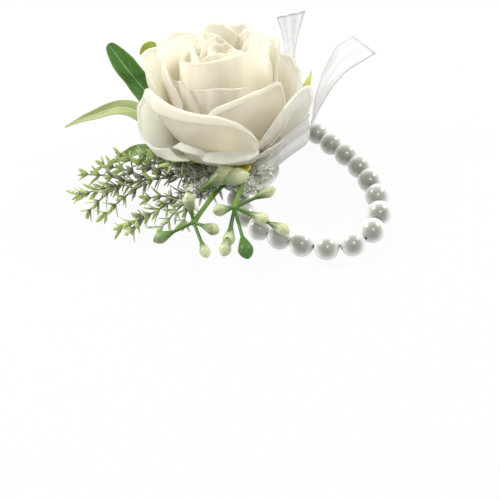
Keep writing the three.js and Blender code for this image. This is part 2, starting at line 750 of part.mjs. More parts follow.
// Organza ribbon: each run is the sheet between two edge lines, from the bow's centre
// in shares of the greenery's span
const ribbonShares = [
  {
    name: 'ribbon_loop',
    lower: [
      [-0.149, -0.22, 0.073], [-0.079, -0.2, 0.073], [0.041, -0.14, 0.073], [0.171, -0.05, 0.078],
      [0.201, 0.03, 0.088], [0.121, 0.03, 0.068], [0.006, -0.03, 0.033],
    ],
    upper: [
      [-0.149, -0.14, 0.073], [-0.069, -0.13, 0.083], [0.051, -0.09, 0.093], [0.181, 0.01, 0.113],
      [0.221, 0.08, 0.118], [0.141, 0.11, 0.073], [0.011, 0.04, 0.033],
    ],
  },
  {
    name: 'ribbon_tail_back',
    lower: [
      [-0.014, 0.053, -0.007], [0.021, 0.22, 0.073], [0.161, 0.42, 0.218],
      [0.181, 0.44, 0.368], [0.178, 0.36, 0.518], [0.161, 0.348, 0.685],
    ],
    upper: [
      [0.011, 0.053, 0.008], [0.121, 0.18, 0.073], [0.241, 0.34, 0.218],
      [0.223, 0.36, 0.368], [0.253, 0.34, 0.518], [0.321, 0.347, 0.685],
    ],
  },
  {
    name: 'ribbon_tail_side',
    lower: [
      [0.231, 0.06, 0.108], [0.279, 0.103, 0.151], [0.354, 0.127, 0.251],
      [0.429, 0.13, 0.335], [0.481, 0.08, 0.418], [0.629, -0.008, 0.551],
    ],
    upper: [
      [0.241, 0.1, 0.108], [0.286, 0.2, 0.168], [0.331, 0.238, 0.251],
      [0.386, 0.255, 0.351], [0.461, 0.25, 0.468], [0.551, 0.202, 0.551],
    ],
  },
];

function ribbonRun(shares) {
  const [lower, upper] = [shares.lower, shares.upper].map(
    (edge) => new THREE.CatmullRomCurve3(edge.map((place) => vector(place, greenSpan).add(knotCentre))),
  );
  const surface = (u, v) => lower.getPoint(v).lerp(upper.getPoint(v), u);
  return thickSheet(surface, 2, 12, ribbonThickness);
}

function ribbonKnot() {
  const shape = lathe([
    [0, -knotLength / 2],
    [knotRadius * knotEndShare, -knotLength / 2],
    [knotRadius, 0],
    [knotRadius * knotEndShare, knotLength / 2],
    [0, knotLength / 2],
  ], 10);
  shape.rotateX(Math.PI / 2);
  shape.translate(...knotCentre.toArray());
  return shape;
}

addPiece('felt_pad', feltPad(), 0xf4f1ea, 0.95);
addPiece('glue_mound', glueMound(), 0xe9e4d4, 0.45);

const centres = pearlCentres();
const strandRoute = elasticRoute(centres);
addPiece('elastic_cord', elasticRing(strandRoute), 0xf2f2f0, 0.5);
centres.forEach((centre, k) => {
  const heading = strandRoute.getTangent(k / strandRoute.points.length);
  const mesh = addPiece(`pearl_${String(k + 1).padStart(2, '0')}`, pearl(), 0xe6e4e0, 0.25);
  mesh.position.copy(centre);
  mesh.quaternion.setFromUnitVectors(new THREE.Vector3(0, 0, 1), heading);
});

whorlShares.forEach((shares, k) => {
  placeRose(addPiece(shares.name, whorl(shares, k * whorlStep), 0xf5f0e2, 0.8));
});
placeRose(addPiece('rose_peg', rosePeg((whorlShares.length - 1) * whorlStep), 0xdfe3c8, 0.6));
placeRose(addPiece('calyx', calyx(), 0x9aa83c, 0.6));

for (const shares of leafShares) addPiece(shares.name, leaf(shares), shares.color, 0.5);
for (const shares of sprayShares) addPiece(shares.name, needleSpray(shares), 0x7f9a5c, 0.7);
for (const shares of berryShares) addPiece(shares.name, berrySpray(shares), 0xa9c27a, 0.35);
for (const shares of ribbonShares) addPiece(shares.name, ribbonRun(shares), 0xf7f7f7, 0.5);
addPiece('ribbon_knot', ribbonKnot(), 0xf7f7f7, 0.5);

export default corsage;
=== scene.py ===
# Wrist corsage: every visible surface, in metres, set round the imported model.
# Run it in Blender: it builds the cloth rose, the greenery, the ribbon and the pearls.
import math

import bmesh
import bpy
import mathutils
import numpy as np
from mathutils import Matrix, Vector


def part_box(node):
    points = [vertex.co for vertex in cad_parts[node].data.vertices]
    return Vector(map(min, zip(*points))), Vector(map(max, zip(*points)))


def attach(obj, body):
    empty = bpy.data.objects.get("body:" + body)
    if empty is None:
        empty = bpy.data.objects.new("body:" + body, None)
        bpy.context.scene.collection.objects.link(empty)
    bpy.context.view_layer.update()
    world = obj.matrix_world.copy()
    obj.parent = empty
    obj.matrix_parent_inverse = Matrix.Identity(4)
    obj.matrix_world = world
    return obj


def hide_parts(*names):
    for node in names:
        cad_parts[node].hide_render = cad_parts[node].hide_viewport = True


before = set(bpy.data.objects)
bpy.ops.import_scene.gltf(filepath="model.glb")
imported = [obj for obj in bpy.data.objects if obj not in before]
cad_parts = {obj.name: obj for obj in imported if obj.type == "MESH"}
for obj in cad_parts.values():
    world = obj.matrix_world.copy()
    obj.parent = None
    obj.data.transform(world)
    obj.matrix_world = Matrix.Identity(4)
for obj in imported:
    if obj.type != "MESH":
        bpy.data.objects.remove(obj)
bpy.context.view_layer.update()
mm = 0.001
fullTurn = 2 * math.pi
rng = np.random.default_rng(7)


# Places and curves

def unit(v):
    return v / np.maximum(np.linalg.norm(v, axis=-1, keepdims=True), 1e-12)


def splineAt(points, t):
    # Catmull-Rom curve through the points: between two of them runs a cubic whose slope at each is
    # half the step between its neighbours. t is the share of the way along.
    p = np.asarray(points, float)
    p = np.vstack([2 * p[0] - p[1], p, 2 * p[-1] - p[-2]])
    spans = len(p) - 3
    x = np.clip(np.asarray(t, float) * spans, 0, spans - 1e-9)
    k = x.astype(int)
    f = (x - k)[..., None]
    a, b, c, d = p[k], p[k + 1], p[k + 2], p[k + 3]
    square, cube = 2 * a - 5 * b + 4 * c - d, 3 * b - a - 3 * c + d
    return 0.5 * (2 * b + (c - a) * f + square * f**2 + cube * f**3)


def smooth(x, low, high):
    # 0 up to low, 1 from high on, and the cubic 3t^2 - 2t^3 between them
    t = np.clip((x - low) / (high - low), 0, 1)
    return t * t * (3 - 2 * t)


def anglesRound(sides):
    return np.linspace(0, fullTurn, sides, endpoint=False)


# Meshes from grids of points

class Sheaf:
    # Grids of points, each with its UV and a tint, that become one mesh

    def __init__(self):
        self.points, self.faces, self.uvs, self.tints, self.count = [], [], [], [], 0

    def grid(self, points, wrapAcross=False, tint=0.5):
        # Rows run along and columns across, four neighbours make a quad, and wrapAcross closes a tube
        rows, cols = points.shape[:2]
        across = cols if wrapAcross else cols - 1
        j, i = np.meshgrid(np.arange(rows - 1), np.arange(across), indexing="ij")
        nextI = (i + 1) % cols
        quad = np.stack([j * cols + i, j * cols + nextI, (j + 1) * cols + nextI, (j + 1) * cols + i], -1)
        u0, u1 = i / across, (i + 1) / across
        v0, v1 = j / (rows - 1), (j + 1) / (rows - 1)
        uv = np.stack([np.stack(corner, -1) for corner in ((u0, v0), (u1, v0), (u1, v1), (u0, v1))], -2)
        self.points.append(points.reshape(-1, 3))
        self.faces.append(quad.reshape(-1, 4) + self.count)
        self.uvs.append(uv.reshape(-1, 4, 2))
        self.tints.append(np.broadcast_to(np.asarray(tint, float), points.shape[:2]).reshape(-1))
        self.count += rows * cols

    def mesh(self, name, weld=0.0):
        points, faces = np.vstack(self.points), np.vstack(self.faces)
        uvs, tints = np.vstack(self.uvs), np.concatenate(self.tints)
        data = bpy.data.meshes.new(name)
        data.vertices.add(len(points))
        data.vertices.foreach_set("co", points.ravel())
        data.loops.add(faces.size)
        data.loops.foreach_set("vertex_index", faces.ravel())
        data.polygons.add(len(faces))
        data.polygons.foreach_set("loop_start", np.arange(0, faces.size, 4))
        data.polygons.foreach_set("use_smooth", np.ones(len(faces), bool))
        layer = data.uv_layers.new(name="UVMap")
        layer.uv.foreach_set("vector", uvs.reshape(-1))
        tint = data.attributes.new("tint", "FLOAT", "POINT")
        tint.data.foreach_set("value", tints)
        data.update(calc_edges=True)
        data.validate()
        piece = bpy.data.objects.new(name, data)
        bpy.context.scene.collection.objects.link(piece)
        if weld:
            weldPoints(piece, weld)
        return piece


def weldPoints(piece, distance):
    shape = bmesh.new()
    shape.from_mesh(piece.data)
    bmesh.ops.remove_doubles(shape, verts=shape.verts, dist=distance)
    bmesh.ops.recalc_face_normals(shape, faces=shape.faces)
    shape.to_mesh(piece.data)
    shape.free()


def tubeGrid(path, radii, sides, reference=(0.13, 0.21, 0.97)):
    # Circles square to the path: cosine and sine of the angle times two axes that are square to the
    # slope, the first of them also square to a fixed reference
    path = np.asarray(path, float)
    tangent = unit(np.gradient(path, axis=0))
    side = unit(np.cross(tangent, reference))
    above = np.cross(tangent, side)
    angle = anglesRound(sides)[None, :, None]
    radii = np.broadcast_to(np.asarray(radii, float), len(path))
    ring = np.cos(angle) * side[:, None] + np.sin(angle) * above[:, None]
    return path[:, None] + radii[:, None, None] * ring


def spun(profile, centre, axis, sides):
    # A profile of (radius, height) turned about the axis through the centre
    profile = np.asarray(profile, float)
    axis = unit(np.asarray(axis, float))
    side = unit(np.cross(axis, (0.31, 0.17, 0.93) if abs(axis[2]) < 0.9 else (1, 0, 0)))
    above = np.cross(axis, side)
    angle = anglesRound(sides)[:, None]
    ring = np.cos(angle) * side + np.sin(angle) * above
    return np.asarray(centre) + profile[:, 0, None, None] * ring[None] + profile[:, 1, None, None] * axis


def finishPiece(piece, material, body="root", replaced=(), thickness=0.0):
    piece.data.materials.append(material)
    if thickness:
        wall = piece.modifiers.new("wall", "SOLIDIFY")
        wall.thickness = thickness
        wall.offset = 0
    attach(piece, body)
    if replaced:
        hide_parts(*replaced)
    return piece


# Materials

class Nodes:
    # A short way to build a node tree: add makes a node, and link and put feed a socket

    def __init__(self, tree):
        self.tree = tree

    def add(self, kind, **settings):
        node = self.tree.nodes.new(kind)
        for key, value in settings.items():
            setattr(node, key, value)
        return node

    def link(self, start, end):
        self.tree.links.new(start, end)

    def put(self, value, socket):  # a colour or a number is set, an output is linked
        if isinstance(value, tuple):
            socket.default_value = (*value, 1)
        elif isinstance(value, (int, float)):
            socket.default_value = value
        else:
            self.link(value, socket)

    def math(self, operation, *values):
        node = self.add("ShaderNodeMath", operation=operation)
        for socket, value in zip(node.inputs, values):
            self.put(value, socket)
        return node.outputs[0]

    def ramp(self, value, low, high, fromLow, fromHigh):
        node = self.add("ShaderNodeMapRange", interpolation_type="SMOOTHSTEP")
        self.link(value, node.inputs["Value"])
        for label, end in (("From Min", fromLow), ("From Max", fromHigh), ("To Min", low), ("To Max", high)):
            node.inputs[label].default_value = end
        return node.outputs["Result"]

    def mix(self, factor, a, b, blend="MIX"):
        node = self.add("ShaderNodeMix", data_type="RGBA", blend_type=blend)
        for place, value in ((0, factor), (6, a), (7, b)):
            self.put(value, node.inputs[place])
        return node.outputs[2]

    def noise(self, vector, scale, detail, roughness):
        node = self.add("ShaderNodeTexNoise")
        self.link(vector, node.inputs["Vector"])
        for label, value in (("Scale", scale), ("Detail", detail), ("Roughness", roughness)):
            node.inputs[label].default_value = value
        return node.outputs["Fac"]

    def stretched(self, vector, scale):
        node = self.add("ShaderNodeMapping")
        self.link(vector, node.inputs["Vector"])
        node.inputs["Scale"].default_value = scale
        return node.outputs["Vector"]

    def split(self, vector):
        node = self.add("ShaderNodeSeparateXYZ")
        self.link(vector, node.inputs[0])
        return node.outputs

    def uv(self):
        return self.add("ShaderNodeUVMap", uv_map="UVMap").outputs[0]

    def tint(self):
        return self.add("ShaderNodeAttribute", attribute_name="tint").outputs["Fac"]

    def place(self):
        return self.add("ShaderNodeTexCoord").outputs["Object"]

    def offMiddle(self, u):
        return self.math("ABSOLUTE", self.math("SUBTRACT", u, 0.5))

    def seen(self):  # 1 for rays of the camera and for those in gloss and glass, else 0
        rays = self.add("ShaderNodeLightPath").outputs
        mirrored = self.math("MAXIMUM", rays["Is Glossy Ray"], rays["Is Transmission Ray"])
        return self.math("MAXIMUM", rays["Is Camera Ray"], mirrored)


def newGroup(name, inputs, outputs):
    tree = bpy.data.node_groups.new(name, "ShaderNodeTree")
    for label, kind, value in inputs:
        socket = tree.interface.new_socket(label, in_out="INPUT", socket_type=kind)
        if value is not None:
            socket.default_value = value
    for label, kind in outputs:
        tree.interface.new_socket(label, in_out="OUTPUT", socket_type=kind)
    nodes = Nodes(tree)
    return nodes, nodes.add("NodeGroupInput"), nodes.add("NodeGroupOutput")


def streaksGroup():
    # Fine lines along a petal or leaf, a noise squeezed across u, and clouds, a plain noise
    nodes, given, out = newGroup(
        "clothStreaks",
        [("Vector", "NodeSocketVector", None), ("Across", "NodeSocketFloat", 60.0),
         ("Along", "NodeSocketFloat", 2.5)],
        [("Streaks", "NodeSocketFloat"), ("Clouds", "NodeSocketFloat")],
    )
    apart = nodes.split(given.outputs["Vector"])
    squeezed = nodes.add("ShaderNodeCombineXYZ")
    for axis, label in enumerate(("Across", "Along")):
        nodes.link(nodes.math("MULTIPLY", apart[axis], given.outputs[label]), squeezed.inputs[axis])
    nodes.link(nodes.noise(squeezed.outputs[0], 1.0, 2.0, 0.55), out.inputs["Streaks"])
    nodes.link(nodes.noise(given.outputs["Vector"], 3.0, 2.0, 0.5), out.inputs["Clouds"])
    return nodes.tree


def weaveGroup():
    # Threads over and under: the product of two sine ripples at right angles
    nodes, given, out = newGroup(
        "threadWeave",
        [("Vector", "NodeSocketVector", None), ("Threads", "NodeSocketFloat", 400.0)],
        [("Height", "NodeSocketFloat")],
    )
    apart = nodes.split(given.outputs["Vector"])
    ripples = [nodes.math("SINE", nodes.math("MULTIPLY", apart[axis], given.outputs["Threads"]))
               for axis in (0, 1)]
    nodes.link(nodes.math("MULTIPLY", *ripples), out.inputs["Height"])
    return nodes.tree


groups = {"streaks": streaksGroup(), "weave": weaveGroup()}


def newMaterial(name, **constants):
    material = bpy.data.materials.new(name)
    material.use_nodes = True
    nodes = Nodes(material.node_tree)
    shader = material.node_tree.nodes["Principled BSDF"]
    for label, value in constants.items():
        shader.inputs[label.replace("_", " ")].default_value = value
    return material, nodes, shader


def placeGroup(nodes, name, vector, **values):
    node = nodes.add("ShaderNodeGroup", node_tree=groups[name])
    nodes.link(vector, node.inputs["Vector"])
    for label, value in values.items():
        node.inputs[label].default_value = value
    return node.outputs


def addBump(nodes, shader, height, strength, distance):
    bump = nodes.add("ShaderNodeBump")
    bump.inputs["Strength"].default_value = strength
    bump.inputs["Distance"].default_value = distance
    nodes.link(height, bump.inputs["Height"])
    nodes.link(bump.outputs["Normal"], shader.inputs["Normal"])


def mixShaders(material, nodes, share, first, second):
    both = nodes.add("ShaderNodeMixShader")
    for socket, value in zip(both.inputs, (share, first.outputs[0], second.outputs[0])):
        nodes.put(value, socket)
    nodes.link(both.outputs[0], material.node_tree.nodes["Material Output"].inputs["Surface"])


def letThrough(material, nodes, shader, colour, share):
    through = nodes.add("ShaderNodeBsdfTranslucent")
    nodes.put(colour, through.inputs["Color"])
    mixShaders(material, nodes, share, shader, through)


petalFinish = {
    "surface": {"Roughness": 0.85, "Specular_IOR_Level": 0.2, "Sheen_Weight": 0.2, "Sheen_Roughness": 0.5},
    "linesAlong": 2.2, "rootFades": (0.1, 0.75), "lineShade": 0.14, "cloudShade": 0.35,
    "shade": (0.98, 0.96, 0.91), "shadeMost": 0.25, "cloudHeight": 2.0, "bump": (0.55, 0.0005),
    "through": (1.0, 0.98, 0.90), "throughTint": 0.5, "throughShare": 0.68,
}


def petalCloth(name, root, lip, across=90.0):
    # Flower cloth: ivory at its lip and cream at the root of each petal, the cream a painted warm shade for
    # the crevices; fine pressed lines and clouds, each petal a little darker by its tint, and light that goes
    # through it
    material, nodes, shader = newMaterial(name, **petalFinish["surface"])
    uv = nodes.uv()
    cloth = placeGroup(nodes, "streaks", uv, Across=across, Along=petalFinish["linesAlong"])
    # the root colour is painted warm shade, strongest at each petal's foot and fading up to the lip's ivory
    colour = nodes.mix(nodes.ramp(nodes.split(uv)[1], 0.0, 1.0, *petalFinish["rootFades"]), root, lip)
    lines = nodes.ramp(cloth["Streaks"], 0.0, petalFinish["lineShade"], 0.35, 0.75)
    colour = nodes.mix(lines, colour, root, "MULTIPLY")
    clouds = nodes.ramp(cloth["Clouds"], 0.0, petalFinish["cloudShade"], 0.45, 0.7)
    colour = nodes.mix(clouds, colour, root)
    darker = nodes.ramp(nodes.tint(), 0.0, petalFinish["shadeMost"], 0.4, 1.0)
    colour = nodes.mix(darker, colour, petalFinish["shade"], "MULTIPLY")
    nodes.link(colour, shader.inputs["Base Color"])
    swell = nodes.math("MULTIPLY", cloth["Clouds"], petalFinish["cloudHeight"])
    addBump(nodes, shader, nodes.math("ADD", cloth["Streaks"], swell), *petalFinish["bump"])
    through = nodes.mix(petalFinish["throughTint"], colour, petalFinish["through"], "MULTIPLY")
    letThrough(material, nodes, shader, through, petalFinish["throughShare"])
    return material


leafFinish = {
    "surface": {"Roughness": 0.6, "Specular_IOR_Level": 0.2}, "linesAcross": 28.0, "linesAlong": 5.0,
    "veinSlant": 0.45, "veinWander": 0.12, "veinShade": 0.28, "midrib": (0.015, 0.04), "lineShade": 0.5,
    "edge": (0.40, 0.5), "edgeShade": 0.7, "bump": (0.5, 0.0003),
}


def leafCloth(name, blade, rib, edge, veins):
    # Printed leaf cloth: a pale midrib where u is half, side veins on the peaks of a sine of v that
    # slants away from the rib, and a paler edge
    material, nodes, shader = newMaterial(name, **leafFinish["surface"])
    uv = nodes.uv()
    apart = nodes.split(uv)
    off = nodes.offMiddle(apart[0])
    cloth = placeGroup(nodes, "streaks", uv, Across=leafFinish["linesAcross"], Along=leafFinish["linesAlong"])
    slant = nodes.math("SUBTRACT", apart[1], nodes.math("MULTIPLY", off, leafFinish["veinSlant"]))
    slant = nodes.math("ADD", slant, nodes.math("MULTIPLY", cloth["Clouds"], leafFinish["veinWander"]))
    ripple = nodes.math("SINE", nodes.math("MULTIPLY", slant, veins * fullTurn))
    vein = nodes.ramp(ripple, 0.0, leafFinish["veinShade"], 0.9, 1.0)
    mask = nodes.math("MAXIMUM", vein, nodes.ramp(off, 1.0, 0.0, *leafFinish["midrib"]))
    colour = nodes.mix(nodes.ramp(cloth["Streaks"], 0.0, leafFinish["lineShade"], 0.3, 0.8), blade, edge)
    colour = nodes.mix(nodes.ramp(off, 0.0, leafFinish["edgeShade"], *leafFinish["edge"]), colour, edge)
    nodes.link(nodes.mix(mask, colour, rib), shader.inputs["Base Color"])
    addBump(nodes, shader, nodes.math("ADD", mask, cloth["Streaks"]), *leafFinish["bump"])
    return material


tipFinish = {"tips": (0.35, 0.75), "speckle": 0.55, "dark": 0.55, "bump": (0.35, 0.0002)}


def tipShaded(name, low, high, startShare, endShare, scale, tips=None, **constants):
    # A colour that runs from low to high along each stem, bud or needle (its v), with a speckle;
    # where the tint is high it turns to the colour of the tips
    material, nodes, shader = newMaterial(name, **constants)
    along = nodes.split(nodes.uv())[1]
    speckle = nodes.noise(nodes.place(), scale, 3.0, 0.6)
    colour = nodes.mix(nodes.ramp(along, 0.0, 1.0, startShare, endShare), low, high)
    if tips is not None:
        colour = nodes.mix(nodes.ramp(nodes.tint(), 0.0, 1.0, *tipFinish["tips"]), colour, tips)
    dark = tuple(tipFinish["dark"] * c for c in low)
    colour = nodes.mix(nodes.ramp(speckle, 0.0, tipFinish["speckle"], 0.45, 0.75), colour, dark)
    nodes.link(colour, shader.inputs["Base Color"])
    addBump(nodes, shader, speckle, *tipFinish["bump"])
    return material


# body: the grey heart, a painted reflection of the darker front; the rim colour is painted sheen towards the
# edge
pearlFinish = {
    "surface": {"Metallic": 0.1, "Roughness": 0.35, "Coat_Weight": 1.0, "Coat_Roughness": 0.1},
    "body": ((0.27, 0.275, 0.22), (0.35, 0.35, 0.30)), "lustre": (0.88, 0.88, 0.85), "lustreEnd": 0.58,
}


def pearlLustre():
    # Imitation pearl under a clear coat: its base colour is a painted reflection, a grey heart that turns to
    # a pale painted sheen towards its edge
    material, nodes, shader = newMaterial("pearlLustre", **pearlFinish["surface"])
    clouds = nodes.noise(nodes.place(), 90.0, 2.0, 0.5)
    # two greys mixed by clouds make the heart, a painted reflection of the darker front
    body = nodes.mix(nodes.ramp(clouds, 0.0, 1.0, 0.3, 0.7), *pearlFinish["body"])
    # painted sheen: the colour turns from the grey heart to the pale rim as the surface turns away from the
    # viewer
    facing = nodes.add("ShaderNodeLayerWeight")
    facing.inputs["Blend"].default_value = 0.5
    lustre = nodes.ramp(facing.outputs["Facing"], 0.0, 1.0, 0.0, pearlFinish["lustreEnd"])
    nodes.link(nodes.mix(lustre, body, pearlFinish["lustre"]), shader.inputs["Base Color"])
    return material


organzaFinish = {
    "surface": {"Roughness": 0.4, "Specular_IOR_Level": 0.5, "Sheen_Weight": 0.4},
    "threads": 260.0, "stretch": (1.0, 3.0, 1.0), "linesAcross": 26.0, "linesAlong": 3.0,
    "sideEdge": (0.462, 0.478), "endEdge": (0.986, 0.992), "cover": 0.42, "weaveCover": 0.05,
    "lineCover": (-0.04, 0.08), "edgeCover": 0.9, "cloth": (0.91, 0.91, 0.91), "edge": (0.52, 0.52, 0.54),
    "bump": (0.3, 0.0002), "through": (0.93, 0.93, 0.93), "throughShare": 0.34,
}


def organza():
    # Sheer ribbon: threads that let most light through, and a closer woven line at each edge
    material, nodes, shader = newMaterial("organza", **organzaFinish["surface"])
    uv = nodes.uv()
    apart = nodes.split(uv)
    stretched = nodes.stretched(uv, organzaFinish["stretch"])
    weave = placeGroup(nodes, "weave", stretched, Threads=organzaFinish["threads"])["Height"]
    lines = placeGroup(nodes, "streaks", uv, Across=organzaFinish["linesAcross"],
                       Along=organzaFinish["linesAlong"])["Streaks"]
    side = nodes.ramp(nodes.offMiddle(apart[0]), 0.0, 1.0, *organzaFinish["sideEdge"])
    edge = nodes.math("MAXIMUM", side, nodes.ramp(apart[1], 0.0, 1.0, *organzaFinish["endEdge"]))
    threads = nodes.math("MULTIPLY", weave, organzaFinish["weaveCover"])
    alpha = nodes.math("ADD", organzaFinish["cover"], threads)
    alpha = nodes.math("ADD", alpha, nodes.ramp(lines, *organzaFinish["lineCover"], 0.3, 0.75))
    alpha = nodes.math("MAXIMUM", alpha, nodes.math("MULTIPLY", edge, organzaFinish["edgeCover"]))
    nodes.link(alpha, shader.inputs["Alpha"])
    colour = nodes.mix(edge, organzaFinish["cloth"], organzaFinish["edge"])
    nodes.link(colour, shader.inputs["Base Color"])
    addBump(nodes, shader, nodes.math("ADD", weave, lines), *organzaFinish["bump"])
    letThrough(material, nodes, shader, organzaFinish["through"], organzaFinish["throughShare"])
    return material


def grained(name, colour, shade, scale, strength, depth, **constants):
    # A plain stock with a grain: two colours mixed by a noise, with a bump from the same noise
    material, nodes, shader = newMaterial(name, **constants)
    grain = nodes.noise(nodes.place(), scale, 4.0, 0.6)
    nodes.link(nodes.mix(nodes.ramp(grain, 0.0, 1.0, 0.3, 0.7), colour, shade), shader.inputs["Base Color"])
    addBump(nodes, shader, grain, strength, depth)
    return material


finishes = {
    # The first colour of each cloth, its root, is painted warm shade for the crevices; the second is the
    # lip's own ivory
    "outerCloth": petalCloth("outerCloth", (0.95, 0.935, 0.86), (0.965, 0.965, 0.955)),
    "openCloth": petalCloth("openCloth", (0.95, 0.94, 0.90), (0.965, 0.965, 0.96)),
    "bodyCloth": petalCloth("bodyCloth", (0.91, 0.87, 0.745), (0.95, 0.943, 0.92)),
    "heartCloth": petalCloth("heartCloth", (0.95, 0.915, 0.79), (0.965, 0.955, 0.925), 50.0),
    "darkLeaf": leafCloth("darkLeaf", (0.045, 0.15, 0.028), (0.26, 0.42, 0.15), (0.17, 0.32, 0.06), 9.0),
    "paleLeaf": leafCloth("paleLeaf", (0.42, 0.50, 0.19), (0.76, 0.80, 0.60), (0.60, 0.66, 0.38), 7.0),
    "smallLeaf": leafCloth("smallLeaf", (0.22, 0.38, 0.13), (0.76, 0.82, 0.62), (0.44, 0.56, 0.34), 8.0),
    "limeLeaf": leafCloth("limeLeaf", (0.54, 0.64, 0.10), (0.74, 0.78, 0.38), (0.44, 0.55, 0.08), 6.0),
    "needle": tipShaded("needle", (0.12, 0.13, 0.09), (0.58, 0.62, 0.48), 0.1, 0.7, 1300.0,
                        tips=(0.66, 0.80, 0.32), Roughness=0.8, Specular_IOR_Level=0.2),
    # a paler copy of the needle colours for the front spray: partly its own paler grey, partly painted light
    # that lifts the shade under the rose
    "paleNeedle": tipShaded("paleNeedle", (0.45, 0.47, 0.36), (0.92, 0.93, 0.84), 0.0, 0.6, 1300.0,
                            tips=(0.50, 0.64, 0.26), Roughness=0.8, Specular_IOR_Level=0.2),
    "twigBark": grained("twigBark", (0.13, 0.13, 0.10), (0.34, 0.36, 0.27), 1500.0, 0.6, 0.0004,
                        Roughness=0.9),
    "greenStem": tipShaded("greenStem", (0.05, 0.12, 0.012), (0.15, 0.26, 0.04), 0.0, 1.0, 260.0,
                           Roughness=0.4, Specular_IOR_Level=0.25, Coat_Weight=0.1),
    "bud": tipShaded("bud", (0.07, 0.16, 0.02), (0.64, 0.67, 0.40), 0.24, 0.62, 220.0,
                     tips=(0.06, 0.17, 0.02), Roughness=0.4, Specular_IOR_Level=0.3, Coat_Weight=0.15,
                     Coat_Roughness=0.2),
    "sepal": tipShaded("sepal", (0.46, 0.47, 0.06), (0.55, 0.48, 0.06), 0.2, 1.0, 260.0,
                       tips=(0.56, 0.62, 0.14), Roughness=0.5, Specular_IOR_Level=0.4),
    "pearl": pearlLustre(),
    "organza": organza(),
    "felt": grained("felt", (0.90, 0.89, 0.86), (0.80, 0.79, 0.75), 1400.0, 0.6, 0.0004,
                    Roughness=0.95, Sheen_Weight=0.5),
    "glue": grained("glue", (0.80, 0.77, 0.66), (0.70, 0.67, 0.55), 180.0, 0.4, 0.0006,
                    Roughness=0.25, Coat_Weight=0.4, Subsurface_Weight=0.3, Subsurface_Scale=0.003),
    "elastic": grained("elastic", (0.90, 0.90, 0.88), (0.78, 0.78, 0.76), 2500.0, 0.4, 0.0001, Roughness=0.6),
    "peg": grained("peg", (0.58, 0.62, 0.40), (0.48, 0.54, 0.32), 500.0, 0.3, 0.0002, Roughness=0.6),
}
print("finishes made:", len(finishes))


# Camera first

cameraSetting = {
    "place": (-5.32, -273.13, 223.53), "aim": (-5.32, -42.81, 4.07), "roll": -12.462,  # mm and degrees
    "lens": 72, "sensor": 36, "nearest": 0.01,
}


def makeCamera():
    # Looks from its place to the aim and is rolled about that line; gives its right, up and back
    place, aim = (np.array(cameraSetting[key]) * mm for key in ("place", "aim"))
    back = unit(place - aim)
    level = unit(np.cross((0, 0, 1), back))
    roll = math.radians(cameraSetting["roll"])
    right = math.cos(roll) * level + math.sin(roll) * np.cross(back, level)
    up = np.cross(back, right)
    data = bpy.data.cameras.new("photoCamera")
    data.lens, data.sensor_width = cameraSetting["lens"], cameraSetting["sensor"]
    data.clip_start = cameraSetting["nearest"]
    camera = bpy.data.objects.new("photoCamera", data)
    turn = np.eye(4)
    turn[:3] = np.stack([right, up, back, place], -1)
    camera.matrix_world = mathutils.Matrix(turn.tolist())
    bpy.context.scene.collection.objects.link(camera)
    bpy.context.scene.camera = camera
    return right, up, back


cameraAxes = makeCamera()
print("camera set")


# Rose: every petal is a wall that climbs from its collar to a lip line and rolls over there

rose = {
    "seat": (-4.2, -3.3, 13.0), "tiltBack": 18, "tiltRight": 8, "collar": 2.4, "step": 0.9,
    "columns": 65, "rows": 38, "rollRows": 12, "flapRows": 5, "thickness": 0.2, "wider": 1.08,
    "rollShare": 0.5, "ruffleOut": 0.6, "ruffleUp": 0.5, "footWidth": 0.35,
    # waves on the cloth: height in mm, waves across, waves up the petal, share of the petal's phase
    "dents": (0.45, 3.1, 4.3, 2.1), "pleats": (0.05, 31, 2, 1),
    "ruffles": [(1, 5.3, 0, 1), (0.7, 11.7, 0, 2.3), (0.35, 23, 0, 3.7)],
    "ring": {"inside": 1.2, "outside": 2.6, "half": 0.2, "sides": 32},
}


def roseTurn():
    back, side = math.radians(-rose["tiltBack"]), math.radians(rose["tiltRight"])
    aboutX = np.array([[1, 0, 0], [0, math.cos(back), -math.sin(back)], [0, math.sin(back), math.cos(back)]])
    aboutY = np.array([[math.cos(side), 0, math.sin(side)], [0, 1, 0], [-math.sin(side), 0, math.cos(side)]])
    return aboutY @ aboutX


def toCorsage(points):  # from the rose's own upright frame to its tilted place on the mound
    return (points @ roseTurn().T + np.array(rose["seat"])) * mm


# Wall profiles: (share of the lip's radius, share of the lip's height) from the collar up
walls = {
    "outer": [(0, 0), (0.35, 0.02), (0.7, 0.15), (0.9, 0.48), (1, 1)],
    "hugging": [(0, 0), (0.45, 0.03), (0.78, 0.1), (0.95, 0.45), (1, 1)],
    "raised": [(0, 0), (0.35, 0.03), (0.55, 0.12), (0.7, 0.26), (0.9, 0.55), (1, 1)],
    "slim": [(0, 0), (0.3, 0.05), (0.5, 0.17), (0.72, 0.4), (0.92, 0.74), (1, 1)],
    "open": [(0, 0), (0.36, 0.01), (0.66, 0.12), (0.86, 0.38), (0.97, 0.72), (1, 1)],
    "cup": [(0, 0), (0.38, 0.04), (0.64, 0.17), (0.85, 0.42), (0.98, 0.74), (1, 1)],
    "shoulder": [(0, 0), (0.36, 0.03), (0.66, 0.14), (0.9, 0.4), (1.02, 0.72), (1, 1)],
    "bud": [(0, 0), (0.42, 0.04), (0.8, 0.15), (1.02, 0.42), (1.07, 0.72), (1, 1)],
    "heart": [(0, 0), (0.5, 0.1), (0.9, 0.35), (1.1, 0.65), (1, 1)],
}


def wavesOn(cloth, side, v, phase):
    height, across, up, share = cloth
    return height * np.sin(across * side + up * v + share * phase)


